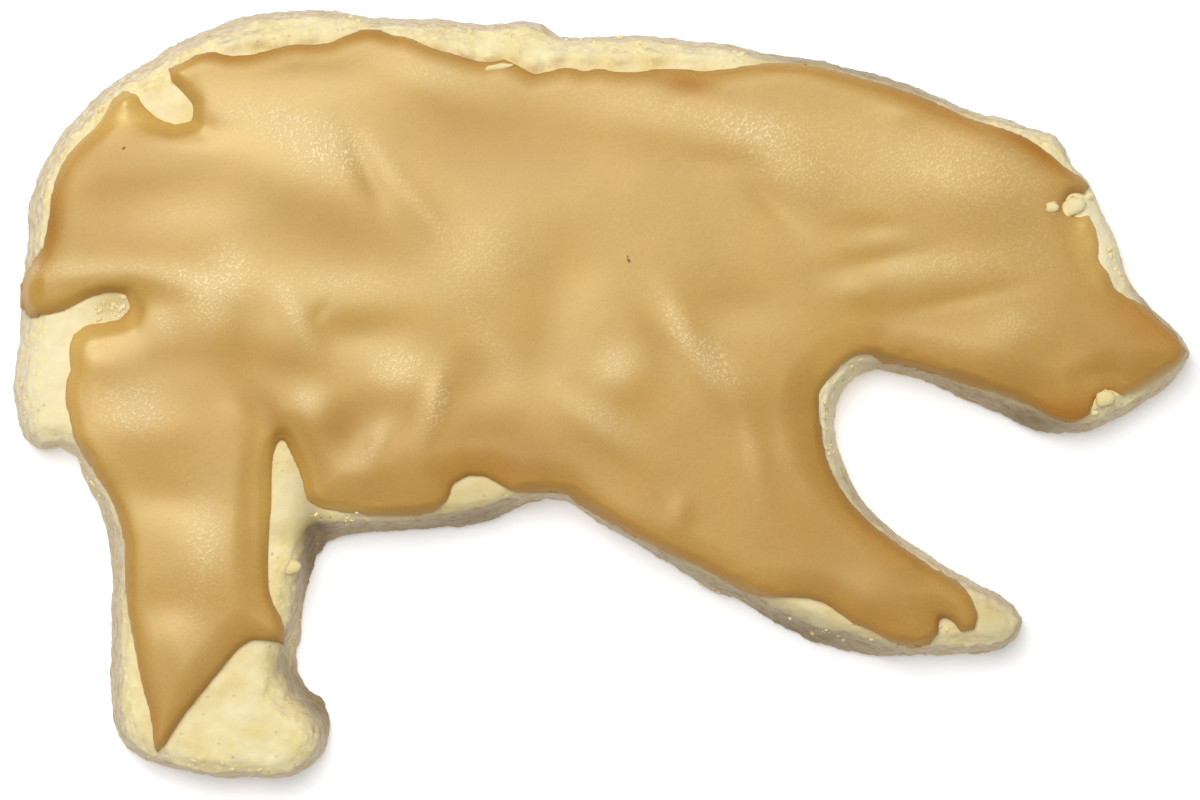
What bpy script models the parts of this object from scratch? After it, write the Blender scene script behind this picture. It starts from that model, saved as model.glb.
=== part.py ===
"""Bear-shaped sugar biscuit with a poured caramel icing.

The bear lies on its side face with the icing up: +X runs to the nose, +Y to the back and
+Z up through the iced face. The origin is on the surface below, under the middle of the
biscuit. Landmarks and driving dimensions are in millimetres, the mesh is in metres.
"""

import math
import random

import bmesh
import bpy
import numpy as np
from mathutils import Matrix, Vector
from mathutils.geometry import delaunay_2d_cdt

MM = 0.001

# Dough: thickness, the rounded shoulder round its top, and the rings of its side, each as
# the share of the set-back that it stands in and its height
DOUGH_THICKNESS = 7.0
SHOULDER_DROP = 1.3
SHOULDER_WIDTH = 1.3
SHOULDER_RINGS = (0.45, 1.3)
SIDE_RINGS = ((0.22, 0.0), (0.0, 0.9), (0.3, 3.0), (0.7, 4.8))

# Icing: its usual thickness, the rounded rim it ends in, and how it hangs over the side
ICING_THICKNESS = 1.45
ICING_LEAST = 0.45
RIM_WIDTH = 2.2
RIM_LIP = 0.35
RIM_RINGS = (0.45, 1.15, 2.2)
ICING_GAP = 0.3
HANG_SLOPE = 1.5

# How crumbly the cut edge of the dough is
CRUMBLE = 0.10
CRUMBLE_SEED = 7

# Fineness of the solids: the step along each edge, the spacing of the rows of points in
# between, and the least distance from one point to the next
KNOT_SPLIT = 12
EDGE_STEP = 1.9
ICING_EDGE_STEP = 1.7
DOUGH_GRID = 4.6
ICING_GRID = 2.3
DOUGH_RING_GAP = 0.7
DOUGH_GRID_GAP = 1.4
ICING_SHOULDER_GAP = 0.5
ICING_RING_GAP = 0.55
ICING_GRID_GAP = 1.3
RING_CROWDING = 0.85
SHARP_ANGLE = 50.0

# Every landmark is laid out as it looks from this point above the surface (x, y, height),
# so a point that sits higher up is drawn a little further out than it is
EYE = (-20.0, -12.0, 600.0)
ICING_EDGE_HEIGHT = 7.0

# Cut edge of the dough, anticlockwise from the nose: x, y, and how far the top is set back
DOUGH_EDGE = {
    "snout": (
        (58.8, 4.2, 1.0), (58.1, 5.6, 1.0), (55.6, 8.0, 1.0), (53.4, 10.1, 1.0),
        (52.2, 12.4, 1.0), (51.3, 15.4, 1.0), (50.0, 17.9, 0.9), (49.3, 19.7, 0.8),
        (48.4, 21.5, 0.8),
    ),
    "brow": (
        (46.9, 22.8, 0.8), (46.0, 24.8, 0.9), (44.6, 26.5, 0.9), (42.7, 26.6, 0.9),
        (40.6, 27.5, 0.9), (38.0, 27.9, 0.9),
    ),
    "crown": (
        (35.0, 29.1, 0.9), (30.0, 31.2, 0.9), (25.0, 32.6, 0.9), (20.0, 33.7, 0.9),
        (16.5, 34.0, 0.9),
    ),
    "back": (
        (12.5, 35.0, 1.0), (8.0, 35.5, 1.0), (3.6, 35.9, 1.0), (-1.0, 35.8, 1.0),
        (-4.6, 35.8, 1.0), (-6.4, 37.0, 1.0), (-8.8, 37.4, 1.0), (-11.0, 36.9, 1.0),
        (-15.0, 37.2, 1.1), (-18.5, 37.5, 1.1), (-22.0, 37.5, 1.1), (-26.0, 38.1, 1.1),
        (-30.0, 38.4, 1.2), (-33.5, 38.1, 1.3),
    ),
    "rump": (
        (-37.0, 37.3, 1.4), (-40.0, 36.1, 1.5), (-42.8, 34.9, 1.5), (-45.2, 33.3, 1.6),
        (-48.0, 31.8, 1.5), (-50.4, 29.8, 1.4), (-52.4, 27.7, 1.5), (-54.4, 25.6, 1.6),
        (-56.0, 22.6, 1.7), (-57.2, 19.2, 1.8), (-57.6, 15.0, 1.8),
    ),
    "tail": (
        (-57.9, 11.5, 1.8), (-58.2, 8.0, 1.8), (-58.5, 4.5, 1.8), (-58.9, 1.0, 1.8),
        (-58.5, -2.4, 1.6), (-57.5, -4.8, 1.2), (-55.6, -5.7, 0.8), (-53.8, -5.4, 0.7),
        (-52.7, -5.9, 0.7), (-52.2, -7.4, 1.0),
    ),
    "hind leg": (
        (-50.8, -10.2, 1.3), (-49.7, -12.8, 1.4), (-49.2, -15.6, 1.4), (-49.0, -19.0, 1.4),
        (-49.0, -22.6, 1.3), (-49.2, -27.0, 1.3), (-49.0, -31.5, 1.3),
    ),
    "hind paw": (
        (-48.2, -34.3, 1.2), (-46.4, -36.2, 0.9), (-43.6, -37.0, 0.6), (-39.4, -38.0, 0.6),
        (-35.5, -38.1, 0.6), (-31.8, -38.2, 0.6), (-29.2, -37.1, 0.9), (-27.7, -35.2, 1.1),
        (-27.3, -32.8, 1.7), (-28.0, -30.5, 2.5), (-29.7, -29.2, 2.5), (-30.5, -27.4, 2.0),
    ),
    "groin": (
        (-30.3, -24.0, 1.4), (-29.8, -20.5, 1.2), (-29.0, -17.4, 1.3), (-28.1, -15.2, 1.4),
    ),
    "belly": (
        (-26.2, -14.4, 1.2), (-23.0, -13.8, 1.1), (-18.5, -13.6, 1.2), (-14.0, -13.2, 1.2),
        (-10.6, -12.5, 1.1), (-8.3, -11.2, 0.9), (-5.0, -10.4, 0.5),
    ),
    "foreleg below": (
        (-3.0, -11.0, 0.4), (-0.5, -12.8, 0.4), (3.0, -14.8, 0.4), (6.5, -17.0, 0.7),
        (10.5, -19.4, 1.0), (14.2, -21.0, 1.2), (18.5, -23.6, 1.4), (22.5, -25.3, 1.4),
        (27.0, -26.0, 1.2),
    ),
    "forepaw": (
        (32.0, -26.1, 1.0), (36.5, -26.0, 1.0), (39.6, -25.5, 0.9), (41.4, -24.0, 0.9),
        (41.8, -22.2, 0.9), (40.6, -20.6, 0.9), (38.0, -19.4, 0.9),
    ),
    "foreleg above": (
        (34.5, -17.4, 0.9), (31.0, -15.1, 0.9), (28.0, -12.8, 0.9), (25.7, -10.4, 1.0),
        (24.2, -7.4, 1.2),
    ),
    "throat": (
        (23.1, -4.2, 1.3), (23.1, -1.4, 1.3), (24.2, 0.9, 1.2), (26.3, 2.4, 1.0),
        (28.8, 2.3, 0.8),
    ),
    "jaw": (
        (32.5, 1.1, 0.8), (36.5, -0.7, 1.1), (40.0, -2.1, 1.5), (43.5, -3.7, 1.2),
        (46.5, -3.9, 0.9),
    ),
    "chin": (
        (49.8, -3.2, 0.9), (53.0, -1.4, 1.1), (56.2, 0.7, 1.1), (58.0, 2.6, 1.0),
    ),
}

# Edge of the icing in the same order: where it runs over the side, stops short of the edge,
# and goes round the places that it left bare
ICING_EDGE = {
    "snout, over the edge": (
        (58.8, 4.4), (58.0, 5.8), (55.5, 8.1), (53.6, 9.7),
    ),
    "bare strip on the snout": (
        (52.3, 9.9), (51.2, 10.8), (50.7, 12.2), (50.4, 13.2), (49.6, 13.6), (49.7, 14.6),
        (49.9, 15.6), (49.2, 17.2), (48.3, 18.6),
    ),
    "bare dimple behind the brow flap": (
        (47.2, 17.8), (46.2, 18.5), (46.0, 19.5), (46.9, 20.1), (48.6, 20.1),
    ),
    "brow flap": (
        (49.4, 20.6), (48.5, 21.8), (46.8, 22.6), (45.2, 23.9), (43.6, 25.1), (41.8, 26.2),
        (39.5, 27.0),
    ),
    "crown, along the edge": (
        (36.8, 27.8), (32.5, 29.8), (28.0, 31.3), (23.0, 32.7), (19.0, 33.5), (16.0, 33.3),
    ),
    "bare strip along the back": (
        (13.0, 32.8), (10.5, 32.5), (6.0, 32.7), (2.0, 32.3), (-0.5, 32.7), (-1.8, 32.4),
        (-3.4, 32.9), (-7.2, 32.1), (-8.4, 32.9), (-9.8, 33.6), (-12.0, 33.3), (-15.2, 34.2),
        (-18.0, 35.0), (-18.8, 35.9), (-20.0, 35.6), (-22.8, 36.7), (-24.6, 36.5),
        (-27.8, 35.1), (-31.0, 35.1), (-34.0, 34.3), (-36.8, 33.8), (-40.0, 34.4),
        (-41.4, 33.5),
    ),
    "bare tongue on the rump": (
        (-44.0, 32.3), (-42.2, 30.2), (-41.2, 29.0), (-40.9, 27.7), (-41.8, 27.0),
        (-43.6, 27.2), (-45.6, 28.4), (-47.2, 30.6),
    ),
    "rump": (
        (-48.9, 30.1), (-49.8, 28.2), (-51.0, 26.5), (-53.2, 24.6), (-54.6, 22.2),
        (-55.3, 19.8), (-55.6, 17.0), (-56.0, 15.2),
    ),
    "lobe down the flank": (
        (-58.0, 12.4), (-58.8, 10.6), (-58.7, 9.0), (-57.4, 7.3), (-55.8, 7.8), (-53.8, 8.2),
        (-51.6, 9.5), (-48.6, 10.1), (-47.2, 9.6),
    ),
    "bare patch on the tail": (
        (-48.0, 7.7), (-50.2, 7.2), (-52.4, 6.7), (-53.5, 5.0), (-53.3, 2.6), (-54.0, 0.0),
        (-53.4, -2.2), (-52.9, -4.8),
    ),
    "hind leg": (
        (-51.2, -7.6), (-49.4, -10.2), (-48.3, -13.4), (-47.9, -17.0), (-47.7, -21.0),
        (-46.9, -25.2), (-46.1, -29.2), (-45.2, -32.4), (-45.0, -35.6),
    ),
    "tongue on the hind paw": (
        (-44.5, -36.3), (-43.9, -35.4), (-42.2, -32.6), (-40.2, -30.0), (-38.2, -27.6),
        (-36.2, -25.2), (-34.8, -24.5), (-33.2, -24.8), (-31.6, -25.2),
    ),
    "bare strip in the groin": (
        (-31.7, -23.2), (-33.2, -20.3), (-33.5, -17.4), (-33.2, -12.0), (-33.0, -6.6),
        (-32.3, -4.1), (-31.3, -6.0), (-30.2, -8.6), (-29.6, -10.9),
    ),
    "belly": (
        (-27.0, -11.7), (-23.0, -12.2), (-18.2, -12.2), (-16.0, -11.3),
    ),
    "bare dome on the belly": (
        (-15.3, -10.0), (-14.9, -8.8), (-12.8, -8.1), (-11.0, -8.7), (-9.2, -9.9),
    ),
    "foreleg, over the edge": (
        (-6.4, -10.0), (-4.4, -9.8), (-2.4, -11.2), (1.5, -13.5), (5.5, -15.7), (10.0, -17.5),
        (13.6, -19.7),
    ),
    "bare patch on the elbow": (
        (16.2, -20.4), (20.0, -20.4), (22.4, -21.1), (24.6, -22.8), (26.8, -23.7),
        (29.0, -25.0),
    ),
    "forepaw": (
        (31.4, -25.6), (33.5, -24.7), (33.5, -22.6), (33.9, -21.8), (34.7, -22.6),
        (35.4, -23.7), (36.8, -23.9), (37.6, -22.8), (37.2, -21.0), (36.2, -19.1),
    ),
    "foreleg above": (
        (32.5, -16.8), (28.6, -14.2), (25.6, -11.6), (23.6, -9.0), (22.3, -6.0), (21.9, -3.0),
    ),
    "bare strip on the throat": (
        (21.5, -0.2), (22.8, 1.6), (24.6, 3.5), (26.6, 4.0), (27.6, 3.1),
    ),
    "jaw": (
        (30.0, 2.7), (33.5, 1.8), (37.0, 0.7), (41.0, -0.4), (44.6, -2.1), (46.2, -3.0),
        (48.4, -2.6),
    ),
    "bare dots on the chin": (
        (49.1, -0.8), (50.3, 0.5), (51.6, -0.2), (53.4, 0.1), (55.6, 1.4), (58.0, 3.0),
    ),
}

# Swells and hollows that the icing set in: x, y, half length, half width, turn, height
SWELLS = (
    # Rump and hip
    (-26.5, 21.8, 5.6, 2.6, -38.0, 0.72), (-36.0, 30.6, 5.6, 2.4, -24.0, -0.55),
    (-47.0, 23.6, 4.0, 1.8, 12.0, 0.25), (-47.2, 16.4, 4.2, 2.6, -38.0, -0.45),
    (-53.6, 12.9, 3.0, 1.1, 6.0, 0.45), (-52.4, 10.9, 3.6, 0.9, 8.0, -0.35),
    (-40.0, 17.0, 3.0, 1.8, 0.0, 0.18), (-24.0, 12.6, 7.0, 2.0, 2.0, -0.38),
    (-17.0, 21.0, 6.0, 2.4, -36.0, -0.40), (-20.5, 30.2, 4.0, 1.8, -24.0, 0.32),
    (-19.5, 33.6, 4.6, 1.4, -20.0, -0.30), (-14.6, 27.8, 3.4, 1.8, -10.0, 0.15),
    # Thigh and hind leg
    (-36.6, 7.5, 6.2, 1.9, 97.0, 0.50), (-35.0, -0.4, 2.6, 1.4, 115.0, 0.30),
    (-46.0, 8.2, 2.8, 1.7, -60.0, -0.35), (-49.6, 5.4, 2.6, 1.4, -20.0, 0.22),
    (-42.0, -6.0, 3.6, 2.2, -55.0, 0.30), (-48.6, -0.4, 3.6, 2.0, 0.0, -0.16),
    (-47.0, -9.6, 4.4, 1.4, -62.0, -0.22), (-37.0, -17.6, 4.2, 2.2, -70.0, 0.70),
    (-42.0, -27.0, 3.6, 1.6, -75.0, 0.30), (-44.8, -23.0, 4.4, 1.2, -82.0, -0.20),
    # Belly
    (-29.6, 6.8, 2.0, 1.3, -70.0, 0.28), (-30.0, 1.0, 1.7, 1.2, 0.0, -0.36),
    (-28.6, -3.2, 2.8, 1.8, 60.0, 0.42), (-23.2, 4.2, 3.0, 1.7, 0.0, -0.32),
    (-23.6, -4.2, 2.8, 1.7, 60.0, -0.38), (-16.2, -0.6, 5.0, 2.0, 88.0, 0.68),
    (-20.4, -7.6, 3.6, 1.6, 15.0, 0.24), (-30.0, -10.0, 2.4, 1.1, 80.0, 0.20),
    # Middle of the side
    (-8.4, 8.2, 6.4, 2.4, -68.0, 0.28), (-5.0, 13.2, 2.6, 1.8, 0.0, 0.18),
    (-1.0, 18.0, 4.0, 2.4, -20.0, -0.24), (1.0, 31.0, 5.0, 1.6, -3.0, -0.28),
    (7.6, 24.8, 6.0, 2.4, -14.0, 0.40), (10.0, 29.4, 2.6, 1.7, -8.0, -0.50),
    (0.0, 5.0, 2.6, 2.0, 0.0, -0.18), (-1.8, -0.2, 1.9, 1.4, 0.0, -0.22),
    (3.2, 0.2, 2.8, 2.0, 0.0, 0.30), (0.0, -5.2, 4.6, 1.7, -32.0, 0.48),
    (3.4, 11.0, 3.0, 1.7, -30.0, -0.34), (8.0, 3.2, 5.2, 1.6, -52.0, -0.46),
    (10.0, 10.2, 3.6, 1.8, -84.0, 0.26), (13.4, 0.6, 5.2, 1.9, -54.0, 0.74),
    (13.0, -5.4, 3.4, 1.3, -62.0, -0.30),
    # Shoulder, neck and head
    (22.4, 20.6, 4.0, 2.2, -46.0, 0.26), (19.0, 17.0, 2.4, 1.4, 0.0, -0.18),
    (25.0, 13.8, 1.8, 1.0, -20.0, 0.20), (30.6, 13.2, 3.0, 1.4, 10.0, -0.26),
    (36.0, 11.2, 4.2, 1.0, 12.0, 0.16), (38.0, 9.2, 3.2, 1.0, 22.0, -0.20),
    (28.0, 8.4, 3.6, 2.0, -40.0, 0.38), (37.4, 25.0, 3.6, 1.4, -26.0, -0.26),
    (41.4, 18.2, 4.8, 2.0, -50.0, 0.46), (40.6, 3.0, 5.4, 2.0, -14.0, 0.50),
    (18.4, 5.2, 2.6, 2.4, 0.0, -0.16),
    # Foreleg
    (8.2, -12.8, 4.0, 1.4, -34.0, 0.20), (17.4, -13.4, 2.6, 1.4, -30.0, 0.16),
    (27.4, -20.2, 3.2, 1.9, -18.0, 0.34), (24.6, -17.0, 2.0, 1.4, -40.0, -0.22),
)


def at_height(points, height):
    """Bring landmarks, laid out as seen from EYE, back to where they are at this height."""
    eye = np.array(EYE[:2])
    return eye + (points - eye) * (1.0 - height / EYE[2])


def landmark_curve(landmarks, step):
    """Run a smooth closed curve through the landmarks, with a point about every step."""
    knots = np.array([row for stretch in landmarks.values() for row in stretch], dtype=float)
    ahead = np.roll(knots, -1, axis=0)
    chord = np.sqrt(np.linalg.norm(ahead[:, :2] - knots[:, :2], axis=1))
    curve = []
    for i in range(len(knots)):
        before, start, end, after = (knots[(i + k) % len(knots)] for k in (-1, 0, 1, 2))
        span_in, span, span_out = (chord[(i + k) % len(knots)] for k in (-1, 0, 1))
        leave = ((start - before) / span_in - (end - before) / (span_in + span)
                 + (end - start) / span) * span
        reach = ((end - start) / span - (after - start) / (span + span_out)
                 + (after - end) / span_out) * span
        for part in np.linspace(0.0, 1.0, KNOT_SPLIT, endpoint=False):
            square = part * part
            cube = square * part
            curve.append((2 * cube - 3 * square + 1) * start + (cube - 2 * square + part) * leave
                         + (3 * square - 2 * cube) * end + (cube - square) * reach)
    return even_steps(np.array(curve), step)


def even_steps(curve, step):
    """Space the points of a closed curve evenly, about a step apart."""
    loop = np.vstack([curve, curve[:1]])
    walked = np.concatenate([[0.0], np.cumsum(np.linalg.norm(np.diff(loop[:, :2], axis=0), axis=1))])
    count = int(round(walked[-1] / step))
    stops = np.linspace(0.0, walked[-1], count, endpoint=False)
    return np.column_stack([np.interp(stops, walked, loop[:, k]) for k in range(loop.shape[1])])


def outward_normals(curve):
    """Give the outward direction at each point of an anticlockwise curve, smoothed a little."""
    along = np.roll(curve[:, :2], -1, axis=0) - np.roll(curve[:, :2], 1, axis=0)
    normals = np.column_stack([along[:, 1], -along[:, 0]])
    normals /= np.linalg.norm(normals, axis=1, keepdims=True)
    normals = np.roll(normals, 1, axis=0) + 2.0 * normals + np.roll(normals, -1, axis=0)
    return normals / np.linalg.norm(normals, axis=1, keepdims=True)


def depth_inside(points, curve):
    """Measure how far each point lies inside a closed curve; outside counts as negative."""
    starts = curve[:, :2]
    ends = np.roll(starts, -1, axis=0)
    runs = ends - starts
    nearest = np.full(len(points), np.inf)
    inside = np.zeros(len(points), dtype=bool)
    for start, end, run in zip(starts, ends, runs):
        offset = points - start
        share = np.clip(offset @ run / (run @ run), 0.0, 1.0)
        gap = np.linalg.norm(offset - share[:, None] * run, axis=1)
        nearest = np.minimum(nearest, gap)
        straddles = (start[1] > points[:, 1]) != (end[1] > points[:, 1])
        rise = run[1] if run[1] != 0.0 else 1e-12
        crossing = start[0] + (points[:, 1] - start[1]) * run[0] / rise
        inside ^= straddles & (points[:, 0] < crossing)
    return np.where(inside, nearest, -nearest)


def crumble(curve, amount):
    """Push the points of an outline in and out a little, as a cut crumbly edge is."""
    rng = random.Random(CRUMBLE_SEED)
    push = np.array([rng.uniform(-amount, amount) for _ in curve])
    ragged = curve.copy()
    ragged[:, :2] += outward_normals(curve) * push[:, None]
    return ragged


def grid_inside(curve, spacing, clearance):
    """Fill a closed curve with staggered rows of points that keep clear of the curve."""
    low = curve[:, :2].min(axis=0)
    high = curve[:, :2].max(axis=0)
    row_height = spacing * math.sqrt(0.75)
    rows = []
    for row in range(int((high[1] - low[1]) / row_height) + 1):
        shift = 0.5 * spacing * (row % 2)
        across = np.arange(low[0] + shift, high[0], spacing)
        rows.append(np.column_stack([across, np.full(len(across), low[1] + row * row_height)]))
    points = np.vstack(rows)
    return points[depth_inside(points, curve) > clearance]


def rings_inside(curve, depths):
    """Repeat a closed curve further in, without the points that crowd a narrow place."""
    rings = []
    for depth in depths:
        ring = curve[:, :2] - outward_normals(curve) * depth
        rings.append(ring[depth_inside(ring, curve) > RING_CROWDING * depth])
    return np.vstack(rings)


def thin_out(points, kept, spacing):
    """Drop each point that lies closer than the spacing to one already kept."""
    kept = [tuple(point) for point in kept]
    first = len(kept)
    taken = np.array(kept)
    for point in points:
        if np.min(np.sum((taken - point) ** 2, axis=1)) >= spacing * spacing:
            taken = np.vstack([taken, point])
    return taken[first:]


def triangulate(boundary, inner):
    """Span the boundary and the points inside it with triangles that face up."""
    points = [Vector(point) for point in np.vstack([boundary[:, :2], inner])]
    count = len(boundary)
    rim = [(i, (i + 1) % count) for i in range(count)]
    verts, _, faces, origin, _, _ = delaunay_2d_cdt(points, rim, [], 1, 1e-7)
    source = [sources[0] for sources in origin]
    triangles = []
    for face in faces:
        a, b, c = (verts[i] for i in face)
        turn = (b - a).cross(c - a)
        corners = [source[i] for i in face]
        triangles.append(corners if turn > 0.0 else corners[::-1])
    return triangles


def dough_top(depth):
    """Height of the dough at a depth inside its top edge: a rounded shoulder, then flat."""
    share = np.clip(1.0 - depth / SHOULDER_WIDTH, 0.0, 1.0)
    return DOUGH_THICKNESS - SHOULDER_DROP * (1.0 - np.sqrt(1.0 - share * share))


def icing_underside(depth):
    """Height of the icing's underside: on the dough, and hanging outside its top edge."""
    over = np.clip(-depth, 0.0, None)
    return dough_top(np.clip(depth, 0.0, None)) + ICING_GAP - HANG_SLOPE * over


def swell_height(points):
    """Add up the swells and hollows of the icing at each point."""
    total = np.zeros(len(points))
    for x, y, half_length, half_width, turn, height in SWELLS:
        centre = at_height(np.array([[x, y]]), DOUGH_THICKNESS)[0]
        angle = math.radians(turn)
        offset = points - centre
        along = offset @ (math.cos(angle), math.sin(angle)) / half_length
        across = offset @ (-math.sin(angle), math.cos(angle)) / half_width
        total += height * np.exp(-0.5 * (along * along + across * across))
    return total


def icing_thickness(points, depth):
    """Thickness of the icing: a rounded rim that rises from a low lip to the swelling top."""
    share = np.clip(1.0 - depth / RIM_WIDTH, 0.0, 1.0)
    rise = np.sqrt(1.0 - share * share)
    body = np.maximum(ICING_THICKNESS + swell_height(points), ICING_LEAST)
    return RIM_LIP + (body - RIM_LIP) * rise


def principled(name, colour, roughness):
    """Make a plain material with this colour and roughness."""
    material = bpy.data.materials.new(name)
    material.use_nodes = True
    shader = material.node_tree.nodes["Principled BSDF"]
    shader.inputs["Base Color"].default_value = (*colour, 1.0)
    shader.inputs["Roughness"].default_value = roughness
    shader.inputs["Metallic"].default_value = 0.0
    return material


def solid(name, vertices, faces, material):
    """Make one closed, smooth-shaded object from points in millimetres."""
    mesh = bpy.data.meshes.new(name)
    shape = bmesh.new()
    corners = [shape.verts.new([value * MM for value in vertex]) for vertex in vertices]
    for face in faces:
        shape.faces.new([corners[i] for i in face])
    bmesh.ops.recalc_face_normals(shape, faces=shape.faces)
    shape.to_mesh(mesh)
    shape.free()
    mesh.shade_smooth()
    mesh.set_sharp_from_angle(angle=math.radians(SHARP_ANGLE))
    mesh.materials.append(material)
    piece = bpy.data.objects.new(name, mesh)
    bpy.context.scene.collection.objects.link(piece)
    return piece


def wall(lower, upper, count):
    """Join two rings of points, given by their first indices, with quads."""
    quads = []
    for i in range(count):
        j = (i + 1) % count
        quads.append((lower + i, lower + j, upper + j, upper + i))
    return quads


def build_biscuit(foot, top_edge):
    """Build the dough: a flat foot, a slanting side and a top with a rounded shoulder."""
    count = len(foot)
    vertices = []
    for share, height in SIDE_RINGS:
        ring = foot[:, :2] + (top_edge - foot[:, :2]) * share
        vertices.append(np.column_stack([ring, np.full(count, height)]))
    sheet = thin_out(rings_inside(top_edge, SHOULDER_RINGS), top_edge, DOUGH_RING_GAP)
    grid = grid_inside(top_edge, DOUGH_GRID, SHOULDER_WIDTH + DOUGH_RING_GAP)
    sheet = np.vstack([sheet, thin_out(grid, np.vstack([top_edge, sheet]), DOUGH_GRID_GAP)])
    first_top = count * len(SIDE_RINGS)
    vertices.append(np.column_stack([top_edge, dough_top(np.zeros(count))]))
    vertices.append(np.column_stack([sheet, dough_top(depth_inside(sheet, top_edge))]))
    faces = []
    for ring in range(len(SIDE_RINGS)):
        faces += wall(ring * count, (ring + 1) * count, count)
    faces += [[first_top + i for i in face] for face in triangulate(top_edge, sheet)]
    base = triangulate(vertices[0], np.empty((0, 2)))
    faces += [face[::-1] for face in base]
    dough = principled("baked_dough", (0.80, 0.66, 0.40), 0.85)
    return solid("biscuit", np.vstack(vertices), faces, dough)


def build_icing(edge, top_edge):
    """Build the icing: one poured layer on the dough, with a rounded rim and a swelling top."""
    count = len(edge)
    shoulder = np.vstack([top_edge, rings_inside(top_edge, SHOULDER_RINGS)])
    shoulder = shoulder[depth_inside(shoulder, edge) > 0.0]
    sheet = thin_out(shoulder, edge, ICING_SHOULDER_GAP)
    rim = rings_inside(edge, RIM_RINGS)
    sheet = np.vstack([sheet, thin_out(rim, np.vstack([edge, sheet]), ICING_RING_GAP)])
    grid = grid_inside(edge, ICING_GRID, RIM_WIDTH + ICING_RING_GAP)
    sheet = np.vstack([sheet, thin_out(grid, np.vstack([edge, sheet]), ICING_GRID_GAP)])
    points = np.vstack([edge, sheet])
    low = icing_underside(depth_inside(points, top_edge))
    high = low + icing_thickness(points, np.clip(depth_inside(points, edge), 0.0, None))
    high[:count] = low[:count] + RIM_LIP
    triangles = triangulate(edge, sheet)
    total = len(points)
    faces = [list(face) for face in triangles]
    faces += [[total + i for i in reversed(face)] for face in triangles]
    faces += [quad[::-1] for quad in wall(0, total, count)]
    vertices = np.vstack([np.column_stack([points, high]), np.column_stack([points, low])])
    caramel = principled("caramel_icing", (0.68, 0.45, 0.18), 0.42)
    return solid("icing", vertices, faces, caramel)


def main():
    """Clear the scene, build both pieces and stand them over the origin."""
    for old in list(bpy.data.objects):
        bpy.data.objects.remove(old, do_unlink=True)
    cut = crumble(landmark_curve(DOUGH_EDGE, EDGE_STEP), CRUMBLE)
    edge = at_height(landmark_curve(ICING_EDGE, ICING_EDGE_STEP), ICING_EDGE_HEIGHT)
    low = np.minimum(cut[:, :2].min(axis=0), edge.min(axis=0))
    high = np.maximum(cut[:, :2].max(axis=0), edge.max(axis=0))
    centre = 0.5 * (low + high)
    top_edge = cut[:, :2] - outward_normals(cut) * cut[:, 2:3]
    biscuit = build_biscuit(cut, top_edge)
    icing = build_icing(edge, top_edge)
    to_origin = Matrix.Translation((-centre[0] * MM, -centre[1] * MM, 0.0))
    for piece in (biscuit, icing):
        piece.data.transform(to_origin)


main()
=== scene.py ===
"""Looks of the iced bear biscuit: a pale, crumbly cut dough under a poured caramel icing.

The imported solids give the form. Fine copies of them carry the crumb of the cut side, the pores
of the bare dough and the swells of the icing, and crumbs, knobs of dough and small dark
grains lie on them. Places on the face are in millimetres as they look in the picture, +X to
the nose and +Y to the back. Blender's own values are in metres.
"""

import logging
import math
import random
from dataclasses import dataclass
from enum import Enum

import bpy
import numpy as np
from mathutils import Euler, Matrix, Vector
from mathutils.bvhtree import BVHTree


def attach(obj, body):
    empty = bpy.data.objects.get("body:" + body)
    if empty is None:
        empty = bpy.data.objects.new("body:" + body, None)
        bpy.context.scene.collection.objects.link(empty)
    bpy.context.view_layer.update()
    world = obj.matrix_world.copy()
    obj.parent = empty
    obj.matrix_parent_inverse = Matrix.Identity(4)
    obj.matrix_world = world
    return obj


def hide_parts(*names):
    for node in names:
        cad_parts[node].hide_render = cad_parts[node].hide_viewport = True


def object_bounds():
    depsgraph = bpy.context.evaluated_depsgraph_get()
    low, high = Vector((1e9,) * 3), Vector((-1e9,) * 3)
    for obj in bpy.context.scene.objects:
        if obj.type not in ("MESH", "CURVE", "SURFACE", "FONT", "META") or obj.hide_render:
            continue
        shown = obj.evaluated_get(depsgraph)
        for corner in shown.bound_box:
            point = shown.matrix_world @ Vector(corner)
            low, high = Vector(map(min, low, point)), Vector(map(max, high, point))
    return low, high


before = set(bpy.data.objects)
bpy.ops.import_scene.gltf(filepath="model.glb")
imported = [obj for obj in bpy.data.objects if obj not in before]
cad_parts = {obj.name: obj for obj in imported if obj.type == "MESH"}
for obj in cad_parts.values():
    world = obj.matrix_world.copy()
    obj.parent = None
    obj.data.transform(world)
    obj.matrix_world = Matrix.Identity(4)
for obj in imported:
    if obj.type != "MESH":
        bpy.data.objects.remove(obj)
CAD_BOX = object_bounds()

MM = 0.001
BODY = "root"
DOUGH_TOP = 7.0
HAIR = 1e-6
WELL_ABOVE = 0.05
FACES_UP = 0.03
LEVELS = 20
UP = Vector((0.0, 0.0, 1.0))
Piece = bpy.types.Object

report = logging.getLogger("iced_bear_biscuit")


class Slot(Enum):
    """The record's two materials."""

    DOUGH = "baked_dough"
    ICING = "caramel_icing"


class Mark(Enum):
    """Values kept on the points of a mesh, which its finish reads."""

    RIM = "near_the_rim"
    THIN = "thin_icing"
    # Browner caramel: stains, and painted shade in hollows and along rims.
    STAIN = "stain_and_painted_shade"
    # Pale sugary icing, partly painted highlight.
    SUGAR = "sugar_and_painted_highlight"
    SIDE = "cut_side"
    # Darker dough, mostly painted shade.
    BROWNED = "painted_shade_and_browning"
    # Where painted glints go on the bare dough.
    GLOSS = "painted_glint_edge"
    # Paler dough, mostly painted light.
    CREAM = "cream_and_painted_light"


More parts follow.
